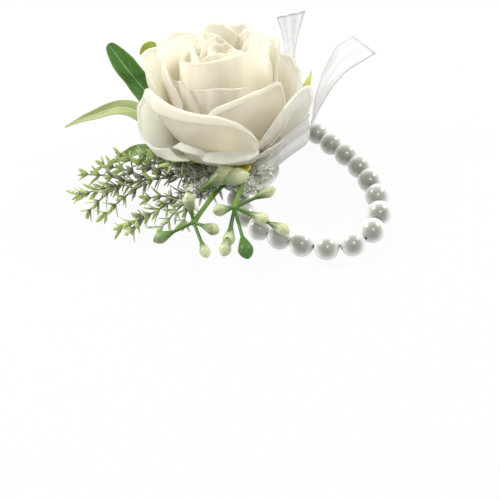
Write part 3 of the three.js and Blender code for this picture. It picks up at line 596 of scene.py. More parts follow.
def petalGrid(wall, seat, lip, roll=0.7, rollEnd=None, turn=112, flap=0.6, flapEnd=None, wave=0.35,
              rim=0.3, phase=0.0):
    # u runs along the lip line, a spline through (heading, radius, height), and v climbs the wall
    # profile to it; the sides stop short so that the corners are round. From the lip's top the cloth
    # follows an arc of radius roll through turn degrees, then runs straight on for the flap. Sine
    # waves ruffle the lip and dent the wall.
    side = np.linspace(-1, 1, rose["columns"])[None, :]
    across, fade = (side + 1) / 2, 1 - side**4
    heading, reach, top = splineAt(lip, across[0]).T[:, None, :]
    v = np.linspace(0, 1, rose["rows"])[:, None]
    climb = v * (1 - rim * np.abs(side) ** 3)
    track = splineAt(walls[wall], climb)
    last = roll if rollEnd is None else rollEnd
    curl = rose["rollShare"] * (roll + (last - roll) * across) * fade
    ruffle = wave * sum(wavesOn(cloth, side, 0, phase) for cloth in rose["ruffles"])
    dents = wavesOn(rose["dents"], side, v, phase) * np.sin(math.pi * v) ** 2
    pleats = wavesOn(rose["pleats"], side, v, phase) * np.sin(math.pi * np.clip(v, 0, 0.95))
    radius = (rose["collar"] + (reach - curl - rose["collar"]) * track[..., 0]
              + rose["ruffleOut"] * ruffle * climb**3 + dents + pleats)
    height = seat + (top - curl - seat) * track[..., 1] + rose["ruffleUp"] * ruffle * climb**2
    angle = np.radians(turn) * np.linspace(0, 1, rose["rollRows"])[1:, None]
    overRadius = radius[-1] + curl * (1 - np.cos(angle))
    overHeight = height[-1] + curl * np.sin(angle)
    lastFlap = flap if flapEnd is None else flapEnd
    drop = np.linspace(0, 1, rose["flapRows"])[1:, None] * (flap + (lastFlap - flap) * across)
    drop = drop * fade * (1 + 0.3 * ruffle)
    radius = np.vstack([radius, overRadius, overRadius[-1] + drop * math.sin(math.radians(turn))])
    height = np.vstack([height, overHeight, overHeight[-1] + drop * math.cos(math.radians(turn))])
    middle = 0.5 * (lip[0][0] + lip[-1][0])
    spread = np.minimum(rose["footWidth"] + 1.3 * np.linspace(0, 1.3, len(radius))[:, None], 1)
    bearing = np.radians(middle + (heading - middle) * spread * rose["wider"])
    return np.stack([radius * np.sin(bearing), -radius * np.cos(bearing), height], -1)


# Each whorl: the node that it stands for, its finish, and its petals by their lip lines in mm
whorls = {
    "outerPetals": dict(node="outer_petals", finish="outerCloth", wall="outer", petals=[
        dict(lip=[(-82, 17.6, 7.4), (-70, 18.1, 8), (-56, 18.3, 8.3), (-42, 18.2, 8.2), (-32, 18, 7.8)],
             wall="hugging", flap=3.4, wave=0.14, rim=0.15),
        dict(lip=[(-38, 18.2, 7.4), (-26, 18.6, 7.3), (-12, 18.8, 7.1), (2, 18.6, 7.3), (14, 18.3, 7.9),
                  (22, 17.8, 8.6)], wall="hugging", roll=0.8, turn=128, flap=4.2, wave=0.14, rim=0.15),
        dict(lip=[(22, 15, 3), (40, 16.6, 4.4), (60, 17.8, 5), (80, 18.2, 4.6), (94, 18, 3.6)], roll=0.4,
             flap=0.3),
        dict(lip=[(138, 25, 10), (148, 26, 11), (158, 25.6, 11), (168, 24.4, 10)], wall="raised"),
        dict(lip=[(174, 24, 10), (187, 25, 11.6), (202, 25, 11.6), (215, 25, 10)]),
        dict(lip=[(-140, 25, 11), (-128, 26.4, 12), (-114, 27, 11), (-102, 27, 9)]),
    ]),
    "openPetals": dict(node="open_petals", finish="openCloth", wall="open", petals=[
        dict(lip=[(26, 24, 17), (40, 25.6, 22), (54, 26.8, 24.2), (66, 27.4, 23.6), (76, 27.8, 20),
                  (85, 27.6, 14), (94, 26.4, 9)], wall="slim", roll=0.8, wave=0.4),
        dict(lip=[(98, 26.6, 17), (109, 27.4, 21), (122, 27.2, 23.5), (138, 26.4, 22.6), (150, 25.4, 18)],
             roll=1.2),
        dict(lip=[(155, 25, 18), (168, 26, 22), (182, 26.5, 24), (196, 26.4, 22.6), (206, 25.6, 19)],
             roll=1.2),
        dict(lip=[(-150, 25.6, 18), (-141, 27, 23), (-130, 27.8, 25), (-120, 27.8, 23), (-113, 27, 18)],
             roll=1.2),
        dict(lip=[(-120, 25.6, 20), (-106, 27.6, 23), (-95, 29.2, 20), (-88, 29.8, 14.5), (-83, 29.8, 11.2),
                  (-74, 29, 9.2), (-66, 28, 9.2), (-59, 26, 11.4)], roll=0.6, wave=0.3, rim=0.2),
    ]),
    "cupPetals": dict(node="cup_petals", finish="bodyCloth", wall="cup", petals=[
        dict(lip=[(-104, 25.4, 23), (-92, 26.3, 26), (-80, 25.8, 26), (-67, 25, 24.6), (-52, 24.4, 22.8),
                  (-36, 23.7, 21.4), (-16, 23.1, 20.2), (-3, 22.8, 18.2), (6, 22.6, 15.2), (14, 22.2, 11)],
             roll=3.0, rollEnd=0.8, turn=158, flap=3.8, flapEnd=1.2, rim=0.12),
        dict(lip=[(-34, 19.2, 17), (-24, 19.3, 20.4), (-12, 19.6, 22.6), (3, 20, 24.3), (18, 20.4, 25.9),
                  (33, 20.6, 27), (44, 20.7, 27.4), (52, 20.5, 24), (59, 20.2, 16)], roll=1.6, rollEnd=0.8,
             turn=160, flap=1.9, flapEnd=0.6, rim=0.12),
        dict(lip=[(52, 22.6, 18), (68, 23.5, 23), (86, 24.2, 26.4), (102, 24.3, 28.4), (118, 24, 29.6),
                  (132, 23.4, 29.2), (145, 22.8, 25)], roll=1.0, turn=120, wave=0.5),
        dict(lip=[(150, 22.6, 26), (162, 23.4, 30), (177, 23.8, 32.5), (191, 23.6, 32), (201, 23.2, 28)],
             roll=1.3),
        dict(lip=[(-154, 24, 28), (-142, 25.6, 33.4), (-128, 26.8, 34.8), (-112, 27.2, 34.6),
                  (-99, 26.8, 32.8), (-88, 25, 29.6), (-78, 23.2, 25.6), (-68, 21.8, 20)], roll=1.3,
             rollEnd=0.6, rim=0.12, wave=0.4),
    ]),
    "shoulderPetals": dict(node="shoulder_petals", finish="bodyCloth", wall="shoulder", petals=[
        dict(lip=[(-170, 18.8, 34), (-158, 19.8, 38), (-138, 20.6, 39.6), (-116, 21, 38.6), (-98, 21, 36.6),
                  (-88, 20.6, 34.2), (-78, 20, 31), (-68, 19.4, 27.8), (-59, 18.8, 24.5)], roll=1.0,
             rim=0.08),
        dict(lip=[(-104, 18.4, 28), (-92, 18.2, 29), (-80, 17.9, 28), (-70, 17.7, 28.4), (-61, 17.6, 28.8),
                  (-52, 17.5, 27.8), (-40, 17.3, 24)], roll=0.4, flap=0.4, rim=0.1),
        dict(lip=[(-60, 16.4, 25), (-46, 16.6, 26.6), (-30, 16.8, 27.1), (-14, 16.9, 27.3), (2, 16.9, 27),
                  (22, 17, 27.2), (42, 17, 25.6)], roll=0.25, flap=0.2, rim=0.1),
        dict(lip=[(58, 16.6, 23), (74, 17, 29), (90, 17.4, 34), (104, 18.4, 37), (118, 19.2, 38.2),
                  (131, 19, 36.4)], roll=1.0, rollEnd=1.3, turn=130, rim=0.14),
        dict(lip=[(124, 17, 35.4), (137, 17.8, 38.2), (150, 18.4, 39.6), (164, 18.4, 39.6), (177, 17.8, 38.4),
                  (188, 17, 35.6)], roll=0.9, turn=120, rim=0.12),
    ]),
    "budPetals": dict(node="bud_petals", finish="heartCloth", wall="bud", petals=[
        dict(lip=[(-88, 14.6, 34), (-70, 14.9, 36), (-52, 14.9, 34.9), (-30, 14.9, 35.1), (-8, 14.9, 36.2),
                  (12, 14.9, 37.2), (32, 14.9, 38.2), (50, 14.9, 38), (64, 14.8, 35)], roll=0.6, flap=0.4,
             rim=0.1, wave=0.25),
        dict(lip=[(44, 12.8, 34), (58, 13.3, 37), (76, 14.2, 38), (92, 14.6, 37.4), (105, 14.4, 34)]),
        dict(lip=[(150, 14, 38), (163, 14.5, 39.8), (178, 14.8, 40.8), (193, 14.8, 40.8), (206, 14.4, 39.6),
                  (216, 14, 37.6)], roll=0.8, turn=120, rim=0.1),
        dict(lip=[(-156, 13.8, 37.4), (-140, 14.2, 38.8), (-124, 14.5, 38.9), (-108, 14.5, 38),
                  (-90, 14.2, 36)], rim=0.12),
        dict(lip=[(98, 14.2, 36), (112, 14.5, 38), (128, 14.5, 39), (144, 14.3, 39), (160, 13.8, 37.6)],
             rim=0.12),
    ]),
    "heartPetals": dict(node="heart_petals", finish="heartCloth", wall="heart", petals=[
        dict(lip=[(-40, 10.8, 34), (-10, 11.4, 36), (20, 11.2, 36.6), (50, 10.6, 36)], roll=0.6, wave=0.4),
        dict(lip=[(60, 11, 35), (90, 11.4, 37.6), (120, 11.2, 38), (150, 10.6, 36)], wave=0.4),
        dict(lip=[(160, 11, 36), (190, 11.4, 38.4), (220, 11.2, 38.2), (250, 10.6, 36)], wave=0.5),
        dict(lip=[(236, 10.2, 35), (262, 10.6, 37.4), (290, 10.6, 37.4), (320, 10.2, 35)], roll=0.6,
             wave=0.4),
        dict(lip=[(-80, 8.6, 35), (-40, 8.9, 36.4), (0, 8.6, 36.4), (40, 8, 35)], roll=0.5, wave=0.4),
        dict(lip=[(30, 8.4, 35), (70, 8.9, 37), (110, 8.6, 37.4), (150, 8, 36)], roll=0.5, wave=0.5),
        dict(lip=[(140, 8.4, 35.6), (180, 8.9, 37.6), (220, 8.6, 37.4), (262, 8, 35.6)], roll=0.5, wave=0.5),
        dict(lip=[(-60, 5.6, 34.4), (0, 6, 35.8), (60, 5.8, 36), (120, 5.2, 35)], roll=0.4, wave=0.5),
        dict(lip=[(100, 5.4, 35), (160, 5.8, 36.4), (220, 5.6, 36), (290, 5, 34.6)], roll=0.4, wave=0.5),
        dict(lip=[(-20, 3, 34), (60, 3.2, 35), (140, 3.2, 35), (220, 2.9, 34.4)], roll=0.3, wave=0.3),
        dict(lip=[(180, 3.1, 34), (250, 3.3, 35), (320, 3.1, 34.6), (380, 2.9, 34)], roll=0.3, wave=0.3),
    ]),
}


def makeWhorl(name, whorl, order):
    sheaf = Sheaf()
    seat = order * rose["step"]
    for k, shape in enumerate(whorl["petals"]):
        grid = petalGrid(**{"wall": whorl["wall"], "seat": seat, "phase": 1.7 * k + order, **shape})
        sheaf.grid(toCorsage(grid), tint=(0.37 * k + 0.21 * order) % 1)
    cloth = finishes[whorl["finish"]]
    finishPiece(sheaf.mesh(name), cloth, replaced=[whorl["node"]],
                thickness=rose["thickness"] * mm)
    ring = rose["ring"]
    low, high = seat - ring["half"], seat + ring["half"]
    section = [(ring["inside"], low), (ring["outside"], low), (ring["outside"], high), (ring["inside"], high),
               (ring["inside"], low)]
    disc = Sheaf()
    disc.grid(toCorsage(spun(section, (0, 0, 0), (0, 0, 1), ring["sides"])), wrapAcross=True)
    finishPiece(disc.mesh(name + "Collar", 1e-6), cloth)


for order, (name, whorl) in enumerate(whorls.items()):
    makeWhorl(name, whorl, order)
print("rose made")


# Calyx: five sepals, each by its heading, its share of the length and its share of the rise

calyx = {
    "radius": 4.2, "height": 3.9, "top": -1.2, "length": 27, "halfWidth": 3.2, "tip": 0.15, "thickness": 0.45,
    "sepals": [(8, 0.64, 0.03), (70, 0.4, 0.02), (119, 1.27, 0.8), (-150, 0.5, 0.02), (-78, 0.5, 0.02)],
    "point": [3.5, 2.4, 7, 2.4, 2.4],  # the higher, the blunter the tip
    "broadside": 2, "face": (-0.1, -0.75, 0.62),  # the long sepal's tip turns its face this way
    "foot": 0.45, "widening": 1.6, "wobble": 0.12, "edgeLift": 0.9, "ripple": 0.3, "rows": 40, "columns": 17,
    "cup": [(0, -1), (0.3, -1), (0.5, -0.97), (0.7, -0.82), (0.86, -0.58), (0.96, -0.3), (1, 0), (0.6, 0.06),
            (0, 0.06)],
}


def makeCalyx():
    # A sepal is a strip that widens quickly and narrows as 1 - v^point; it rises with v^3, and its
    # edges lift by the square of the way across. The cup is a lathe under them.
    sheaf = Sheaf()
    side = np.linspace(-1, 1, calyx["columns"])[None, :]
    v = np.linspace(0, 1, calyx["rows"])[:, None]
    for k, (heading, lengthShare, riseShare) in enumerate(calyx["sepals"]):
        angle = math.radians(heading)
        outward = np.array([math.sin(angle), -math.cos(angle), 0])
        sideways = np.array([math.cos(angle), math.sin(angle), 0])
        reach = calyx["radius"] * 0.5 + calyx["length"] * lengthShare * v
        climb = calyx["length"] * riseShare * v**3
        width = calyx["halfWidth"] * np.minimum(calyx["foot"] + calyx["widening"] * v, 1)
        width = width * (1 - v ** calyx["point"][k]) + calyx["tip"]
        width = width * (1 + calyx["wobble"] * np.sin(9 * v + k))
        rise = calyx["top"] + climb + calyx["edgeLift"] * side**2 * np.sin(math.pi * v)
        rise = rise + calyx["ripple"] * np.sin(7 * v + 2 * side + k) * v
        run = reach[..., None] * outward + climb[..., None] * np.array([0, 0, 1.0])
        faced = unit(np.cross(np.gradient(run[:, 0], axis=0), calyx["face"]))[:, None]
        faced = faced * np.sign((faced * sideways).sum(-1, keepdims=True))
        blend = smooth(v, 0.4, 0.8)[..., None] * (k == calyx["broadside"])
        flat = unit((1 - blend) * sideways + blend * faced)
        points = (reach + 0 * side)[..., None] * outward + (width * side)[..., None] * flat
        points[..., 2] += rise
        sheaf.grid(toCorsage(points), tint=float(k == calyx["broadside"]))
    finishPiece(sheaf.mesh("sepals"), finishes["sepal"], replaced=["calyx"],
                thickness=calyx["thickness"] * mm)
    profile = [(r * calyx["radius"], calyx["top"] + h * calyx["height"]) for r, h in calyx["cup"]]
    steps = splineAt(profile, np.linspace(0, 1, 40))
    steps[:, 0] = np.abs(steps[:, 0])
    steps[[0, -1], 0] = 0
    cup = Sheaf()
    cup.grid(toCorsage(spun(steps, (0, 0, 0), (0, 0, 1), 36)), wrapAcross=True)
    finishPiece(cup.mesh("calyxCup", 1e-6), finishes["sepal"])


makeCalyx()
print("calyx made")


# Leaves: midrib routes in shares of the greenery's span, as the solids have them

greenSpan = 60
mound = {
    "foot": 1.5, "top": 7.2, "radius": 9.5, "clearance": 0.6,
    "side": [(0, 0.97), (0.12, 1), (0.5, 0.94), (0.8, 0.84), (1, 0.684)],  # share of height, of radius
}


def moundSeat(heading, riseShare):
    # The point just off the mound's side at that heading and that share of its height
    shares = np.array(mound["side"])
    reach = mound["radius"] * np.interp(riseShare, shares[:, 0], shares[:, 1]) + mound["clearance"]
    angle = math.radians(heading)
    height = mound["foot"] + (mound["top"] - mound["foot"]) * riseShare
    return np.array([reach * math.cos(angle), reach * math.sin(angle), height])


leaves = {
    "darkLeafBlade": dict(
        node="dark_leaf", finish="darkLeaf", slot="leaf_dark", seat=(140, 0.75), halfWidth=4.3,
        face=(0.35, -0.5, 0.8),
        route=[(-0.36, 0.34, 0.15), (-0.512, 0.6, 0.33), (-0.583, 0.64, 0.48), (-0.647, 0.683, 0.633)],
        fold=0.9, blunt=0.42, skew=1.05),
    "paleLeafBlade": dict(
        node="pale_leaf", finish="paleLeaf", slot="leaf_pale", seat=(160, 0.6), halfWidth=2.7,
        face=(0, -0.6, 0.8),
        route=[(-0.35, 0.24, 0.15), (-0.6, 0.42, 0.33), (-0.84, 0.41, 0.347), (-1.008, 0.427, 0.3)], fold=1.2,
        blunt=1.3, skew=0.5),
    "smallLeafBlade": dict(
        node="small_leaf", finish="smallLeaf", slot="leaf_dark", seat=(173, 0.75), halfWidth=1.4,
        face=(0, -0.75, 0.66),
        route=[(-0.35, 0.12, 0.15), (-0.575, 0.2, 0.185), (-0.685, 0.185, 0.18), (-0.797, 0.17, 0.155)],
        fold=0.5),
    "curledLeafBlade": dict(
        node="curled_leaf", finish="limeLeaf", slot="leaf_pale", seat=(114, 0.75), halfWidth=3.7,
        face=(0, -0.9, 0.4),
        route=[(-0.2, 0.43, 0.13), (-0.36, 0.68, 0.3), (-0.42, 0.645, 0.52), (-0.38, 0.5, 0.695)], fold=1.2,
        blunt=0.45),
}
leafShape = {
    "stalk": 0.2, "stalkHalf": 0.7, "taper": 0.6, "ripple": 0.35, "ripples": 16, "thickness": 0.35,
    "rows": 90, "columns": 25,
}


def makeLeaf(name, leaf):
    # The blade runs along its midrib: past the stalk its half width is a sine of the run, and both
    # halves fold up from the rib, with a slow ripple along the edge. skew moves the widest place and
    # blunt rounds the ends.
    route = np.vstack([moundSeat(*leaf["seat"]), np.array(leaf["route"]) * greenSpan])
    v = np.linspace(0, 1, leafShape["rows"])
    middle = splineAt(route, v)
    face = unit(np.array(leaf["face"], float))
    across = unit(np.cross(unit(np.gradient(middle, axis=0)), face))
    side = np.linspace(-1, 1, leafShape["columns"])[None, :, None]
    blade = np.maximum(v - leafShape["stalk"], 0) / (1 - leafShape["stalk"])
    outline = np.sin(math.pi * blade ** leaf.get("skew", 0.8)) ** leaf.get("blunt", 0.75)
    width = leafShape["stalkHalf"] * (1 - leafShape["taper"] * v) + leaf["halfWidth"] * outline
    outline = outline[:, None, None]
    ripple = leafShape["ripple"] * outline * np.sin(leafShape["ripples"] * v[:, None, None] + 2.5 * side)
    lift = leaf["fold"] * outline * np.abs(side) ** 1.4 + ripple * np.abs(side)
    points = middle[:, None] + across[:, None] * (width[:, None, None] * side) + face * lift
    sheaf = Sheaf()
    sheaf.grid(points * mm)
    finishPiece(sheaf.mesh(name), finishes[leaf["finish"]], replaced=[leaf["node"]],
                thickness=leafShape["thickness"] * mm)


for name, leaf in leaves.items():
    makeLeaf(name, leaf)
print("leaves made")


# Needle twigs: bare bark below, leaf shaped needles in rosettes, and fine grey tufts near the rose

sprays = {
    "longSpray": dict(
        node="needle_twig_long", seat=(196, 0.5),
        main=[(-0.4, -0.08, 0.15), (-0.67, -0.05, 0.16), (-0.98, 0.02, 0.1)],
        twigs=[(0.33, (-0.57, 0.11, 0.17)), (0.42, (-0.7, 0.1, 0.24)), (0.55, (-0.81, 0.12, 0.19)),
               (0.68, (-0.91, 0.07, 0.19)), (0.72, (-0.93, -0.11, 0.08)), (0.52, (-0.84, -0.17, 0.08))],
        green=0.3, tufts=[]),
    "lowSpray": dict(
        node="needle_twig_low", seat=(209, 0.5),
        main=[(-0.37, -0.19, 0.11), (-0.57, -0.28, 0.1), (-0.76, -0.3, 0.06)],
        twigs=[(0.75, (-0.69, -0.34, 0.08)), (0.45, (-0.57, -0.2, 0.14))], green=0.35,
        tufts=[(0.25, (-0.33, -0.22, 0.17), 5), (0.1, (-0.27, -0.12, 0.19), 5)]),
    "frontSpray": dict(
        node="needle_twig_front", seat=(221, 0.7),
        main=[(-0.25, -0.25, 0.14), (-0.4, -0.32, 0.14), (-0.53, -0.41, 0.1)],
        twigs=[(0.55, (-0.4, -0.44, 0.14))], green=0.45, finish="paleNeedle",
        tufts=[(0.15, (-0.2, -0.2, 0.19), 6), (0.3, (-0.3, -0.28, 0.19), 5), (0.0, (-0.06, -0.27, 0.16), 7),
               (0.0, (0.05, -0.2, 0.16), 8), (0.0, (-0.02, -0.34, 0.17), 5)]),
    "greySpray": dict(
        node="needle_twig_grey", seat=(185, 0.9),
        main=[(-0.27, -0.03, 0.165), (-0.4, 0.0, 0.21), (-0.55, 0.035, 0.255)],
        twigs=[(0.4, (-0.4, -0.09, 0.26))], green=0.45,
        tufts=[(0.2, (-0.3, -0.02, 0.22), 9), (0.35, (-0.36, 0.04, 0.23), 9), (0.5, (-0.43, 0.07, 0.24), 9),
               (0.3, (-0.35, -0.08, 0.22), 10), (0.1, (-0.24, -0.07, 0.2), 9),
               (0.2, (-0.27, -0.14, 0.2), 9)]),
}
needle = {
    "length": 6.0, "width": 1.6, "spacing": 3.0, "thickness": 0.4, "perWhorl": 5, "slant": 1.15, "bend": 0.15,
    # how far chance may change the place, the turn and the tint, and by which factors the sizes
    "shift": 0.012, "twist": 0.45, "shade": 0.25, "slants": (0.6, 1.35), "lengths": (0.7, 1.15),
    "widths": (0.75, 1.15),
}
tuft = {"length": 3.2, "width": 0.7, "spacing": 0.8, "spread": 3.6}
needleRun, needleSwell = np.array([[0.0, 0.25, 0.6, 0.88, 1.0], [0.35, 0.9, 1.0, 0.55, 0.03]])


def needleBlades(base, direction, flat, length, width):
    # Every needle is a lens shaped blade: an oval section that swells from its foot and narrows to
    # its tip, on a spine that bends up with the square of the run. Each array has a row per needle.
    across = unit(np.cross(direction, flat))
    above = np.cross(across, direction)[:, None, None]
    angle = anglesRound(6)[None, None, :, None]
    half = (width / 2)[:, None, None, None]
    ring = np.cos(angle) * across[:, None, None] * half + np.sin(angle) * above * needle["thickness"] / 2
    bend = (needleRun**2)[None, :, None, None] * needle["bend"] * length[:, None, None, None] * above
    spine = base[:, None, None] + direction[:, None, None] * (length[:, None] * needleRun)[..., None, None]
    return spine + bend + ring * needleSwell[None, :, None, None]


def addNeedles(sheaf, path, startShare, green, fine=False):
    # Whorls of blades along the path, each turned and slanted a little by chance
    steps = np.linalg.norm(np.diff(path, axis=0), axis=1)
    run = np.concatenate([[0], np.cumsum(steps)]) / steps.sum()
    kind = tuft if fine else needle
    count = max(3, int(steps.sum() * (1 - startShare) / kind["spacing"]))
    whorlRun = np.repeat(np.linspace(startShare, 1.0, count), needle["perWhorl"])
    n = len(whorlRun)
    whorlRun = np.clip(whorlRun + rng.uniform(-needle["shift"], needle["shift"], n), 0, 1)
    base = np.stack([np.interp(whorlRun, run, path[:, k]) for k in range(3)], -1)
    slope = unit(np.gradient(path, axis=0))
    along = unit(np.stack([np.interp(whorlRun, run, slope[:, k]) for k in range(3)], -1))
    side = unit(np.cross(along, (0.1, 0.2, 0.97)))
    above = np.cross(along, side)
    order = np.arange(n)
    turn = fullTurn * order / needle["perWhorl"] + 0.7 * (order // needle["perWhorl"])
    turn = turn + rng.uniform(-needle["twist"], needle["twist"], n)
    outward = np.cos(turn)[:, None] * side + np.sin(turn)[:, None] * above
    slant = needle["slant"] * rng.uniform(*needle["slants"], n) * (1.15 - 0.45 * whorlRun)
    direction = unit(along + outward * slant[:, None])
    length = kind["length"] * rng.uniform(*needle["lengths"], n) * (1.0 - 0.15 * whorlRun)
    blades = needleBlades(base, direction, outward, length, kind["width"] * rng.uniform(*needle["widths"], n))
    tint = smooth(whorlRun, green - 0.2, green + 0.25) + rng.uniform(-needle["shade"], needle["shade"], n)
    tint = np.clip(tint, 0, 1)
    for blade, shade in zip(blades, tint * (not fine)):
        sheaf.grid(blade * mm, wrapAcross=True, tint=shade * np.linspace(0.45, 1.0, len(needleRun))[:, None])


stem = {
    "main": 0.55, "side": 0.45, "tip": 0.25, "tuft": 0.18, "arch": 1.1, "points": 40,
    "bareMain": 0.22, "bareSide": 0.12, "bareTuft": 0.35,  # shares without needles
}


def startOn(main, share):
    return main[int(share * (stem["points"] - 1))]


def sprayPaths(spray):
    route = np.vstack([moundSeat(*spray["seat"]), np.array(spray["main"]) * greenSpan])
    main = splineAt(route, np.linspace(0, 1, stem["points"]))
    paths = [(main, stem["bareMain"])]
    for share, tip in spray["twigs"]:
        start, end = startOn(main, share), np.array(tip) * greenSpan
        bend = start + 0.5 * (end - start) + (0, 0, stem["arch"])
        paths.append((splineAt([start, bend, end], np.linspace(0, 1, 20)), stem["bareSide"]))
    return main, paths


def makeSpray(name, spray):
    blades, wood = Sheaf(), Sheaf()
    main, paths = sprayPaths(spray)
    for k, (path, bare) in enumerate(paths):
        taper = np.linspace(stem["side"] if k else stem["main"], stem["tip"], len(path))
        wood.grid(tubeGrid(path * mm, taper * mm, 8), wrapAcross=True)
        addNeedles(blades, path, bare, spray["green"])
    for share, tip, count in spray["tufts"]:
        start, end = startOn(main, share), np.array(tip) * greenSpan
        for scatter in rng.uniform(-1, 1, (count, 3)) * tuft["spread"] * (1, 1, 0.5):
            path = splineAt([start, 0.5 * (start + end) + 0.5 * scatter, end + scatter],
                            np.linspace(0, 1, 10))
            wood.grid(tubeGrid(path * mm, stem["tuft"] * mm, 6), wrapAcross=True)
            addNeedles(blades, path, stem["bareTuft"], 1.0, fine=True)
    finishPiece(wood.mesh(name + "Stem"), finishes["twigBark"])
    finishPiece(blades.mesh(name), finishes[spray.get("finish", "needle")],
                replaced=[spray["node"]])


for name, spray in sprays.items():
    makeSpray(name, spray)
print("needle twigs made")


# Berry sprays

berries = {
    "leftBerries": dict(
        node="berry_spray_left", seat=(247, 0.9),
        stem=[(-0.15, -0.27, 0.18), (-0.24, -0.42, 0.22), (-0.35, -0.55, 0.2)],
        buds=[((-0.35, -0.49, 0.29), 0.9, 0.3), ((-0.53, -0.565, 0.16), 0.9, 0.6),
              ((-0.32, -0.75, 0.17), 0.8, 0.1), ((-0.265, -0.64, 0.21), 0.9, 0.45)]),
    "rightBerries": dict(
        node="berry_spray_right", seat=(264, 0.9),
        stem=[(-0.05, -0.26, 0.19), (-0.06, -0.38, 0.24), (-0.12, -0.54, 0.23)],
        buds=[((-0.18, -0.69, 0.17), 0.9, 0.35), ((-0.21, -0.76, 0.17), 0.9, 0.3),
              ((-0.11, -0.81, 0.18), 1.1, 1.0), ((-0.19, -0.58, 0.27), 0.9, 0.5),
              ((0.0, -0.64, 0.21), 0.9, 0.1), ((0.06, -0.5, 0.25), 0.9, 0.1),
              ((0.09, -0.73, 0.19), 0.9, 0.2)]),
    "topBerries": dict(
        node="berry_stem_top", seat=(232, 0.9),
        stem=[(-0.2, -0.22, 0.17), (-0.28, -0.31, 0.21), (-0.22, -0.35, 0.27)],
        buds=[((-0.155, -0.33, 0.285), 1.35, 0.4), ((-0.085, -0.36, 0.285), 1.3, 0.0)]),
}
bud = {"radius": 2.15, "length": 8.0, "pedicel": 0.55, "stem": 0.78, "knob": 1.5, "rib": 0.035, "sides": 20}
budCurve = [(0.62, -0.55), (0.96, 0), (1, 0.28), (0.76, 0.58), (0.34, 0.84), (0, 0.96)]  # of radius, of half


def budGrid(start, centre, size):
    # One lathe from the foot of the pedicel to the bud's tip: a thin stalk that flares into a cup,
    # swells to the bud and closes in a blunt point, with five faint ribs
    length = float(np.linalg.norm(centre - start))
    radius, half = bud["radius"] * size, bud["length"] * size / 2
    profile = [(bud["pedicel"], 0), (bud["pedicel"], length - 1.25 * half),
               (bud["pedicel"] * 1.25, length - half)]
    profile += [(radius * r, length + half * h) for r, h in budCurve]
    steps = splineAt(profile, np.linspace(0, 1, 48))
    steps[:, 0] = np.maximum(steps[:, 0], 0)
    steps[-1, 0] = 0
    axis = unit(centre - start)
    grid = spun(steps, start, axis, bud["sides"])
    ribs = 1 + bud["rib"] * np.sin(5 * anglesRound(bud["sides"]))[None, :, None]
    centreLine = start + steps[:, 1, None, None] * axis
    return centreLine + (grid - centreLine) * ribs


def makeBerries(name, spray):
    # The stem is a tube that thickens at its top into a knob, and every bud starts from there
    stems, buds = Sheaf(), Sheaf()
    v = np.linspace(0, 1, 50)
    path = splineAt(np.vstack([moundSeat(*spray["seat"]), np.array(spray["stem"]) * greenSpan]), v)
    stems.grid(tubeGrid(path * mm, bud["stem"] * (1 + 0.25 * smooth(v, 0.85, 1.0)) * mm, 14), wrapAcross=True)
    hub = path[-1]
    knob = splineAt([(0, -1), (0.7, -0.7), (1, 0), (0.7, 0.7), (0, 1)], np.linspace(0, 1, 16))
    knob = knob * bud["stem"] * bud["knob"]
    knob[:, 0] = np.maximum(knob[:, 0], 0)
    knob[[0, -1], 0] = 0
    stems.grid(spun(knob, hub, (0.2, 0.3, 0.9), 16) * mm, wrapAcross=True)
    for place, size, shade in spray["buds"]:
        buds.grid(budGrid(hub, np.array(place) * greenSpan, size) * mm, wrapAcross=True, tint=shade)
    finishPiece(stems.mesh(name + "Stem", 1e-6), finishes["greenStem"])
    finishPiece(buds.mesh(name, 1e-6), finishes["bud"], replaced=[spray["node"]])


for name, spray in berries.items():
    makeBerries(name, spray)
print("berries made")


# Ribbon

ribbons = {
    "ribbonLoop": dict(
        node="ribbon_loop", held="folded", ripple=0.25,
        lower=[(0.03, -0.215, 0.13), (0.075, -0.185, 0.105), (0.15, -0.145, 0.11), (0.25, -0.105, 0.14),
               (0.36, -0.055, 0.165), (0.385, 0.03, 0.17), (0.3, 0.03, 0.15), (0.185, -0.03, 0.115)],
        upper=[(0.03, -0.14, 0.19), (0.1, -0.11, 0.215), (0.18, -0.075, 0.24), (0.28, -0.03, 0.285),
               (0.37, 0.02, 0.3), (0.41, 0.08, 0.26), (0.32, 0.11, 0.2), (0.19, 0.04, 0.115)]),
    "ribbonTailBack": dict(
        node="ribbon_tail_back", held="gathered", ripple=0.2,
        lower=[(0.165, 0.053, 0.075), (0.2, 0.22, 0.155), (0.34, 0.42, 0.3), (0.36, 0.44, 0.45),
               (0.357, 0.36, 0.6), (0.34, 0.348, 0.767)],
        upper=[(0.19, 0.053, 0.09), (0.3, 0.18, 0.155), (0.42, 0.34, 0.3), (0.402, 0.36, 0.45),
               (0.432, 0.34, 0.6), (0.5, 0.347, 0.767)]),
    "ribbonTailSide": dict(
        node="ribbon_tail_side", held="gathered", ripple=0.2,
        lower=[(0.41, 0.06, 0.19), (0.458, 0.103, 0.233), (0.533, 0.127, 0.333), (0.608, 0.13, 0.417),
               (0.66, 0.08, 0.5), (0.808, -0.008, 0.633)],
        upper=[(0.42, 0.1, 0.19), (0.465, 0.2, 0.25), (0.51, 0.238, 0.333), (0.565, 0.255, 0.433),
               (0.64, 0.25, 0.55), (0.73, 0.202, 0.633)]),
}
ribbonStock = {"width": 10, "thickness": 0.12, "gathers": 2.5, "rows": 120, "columns": 25}


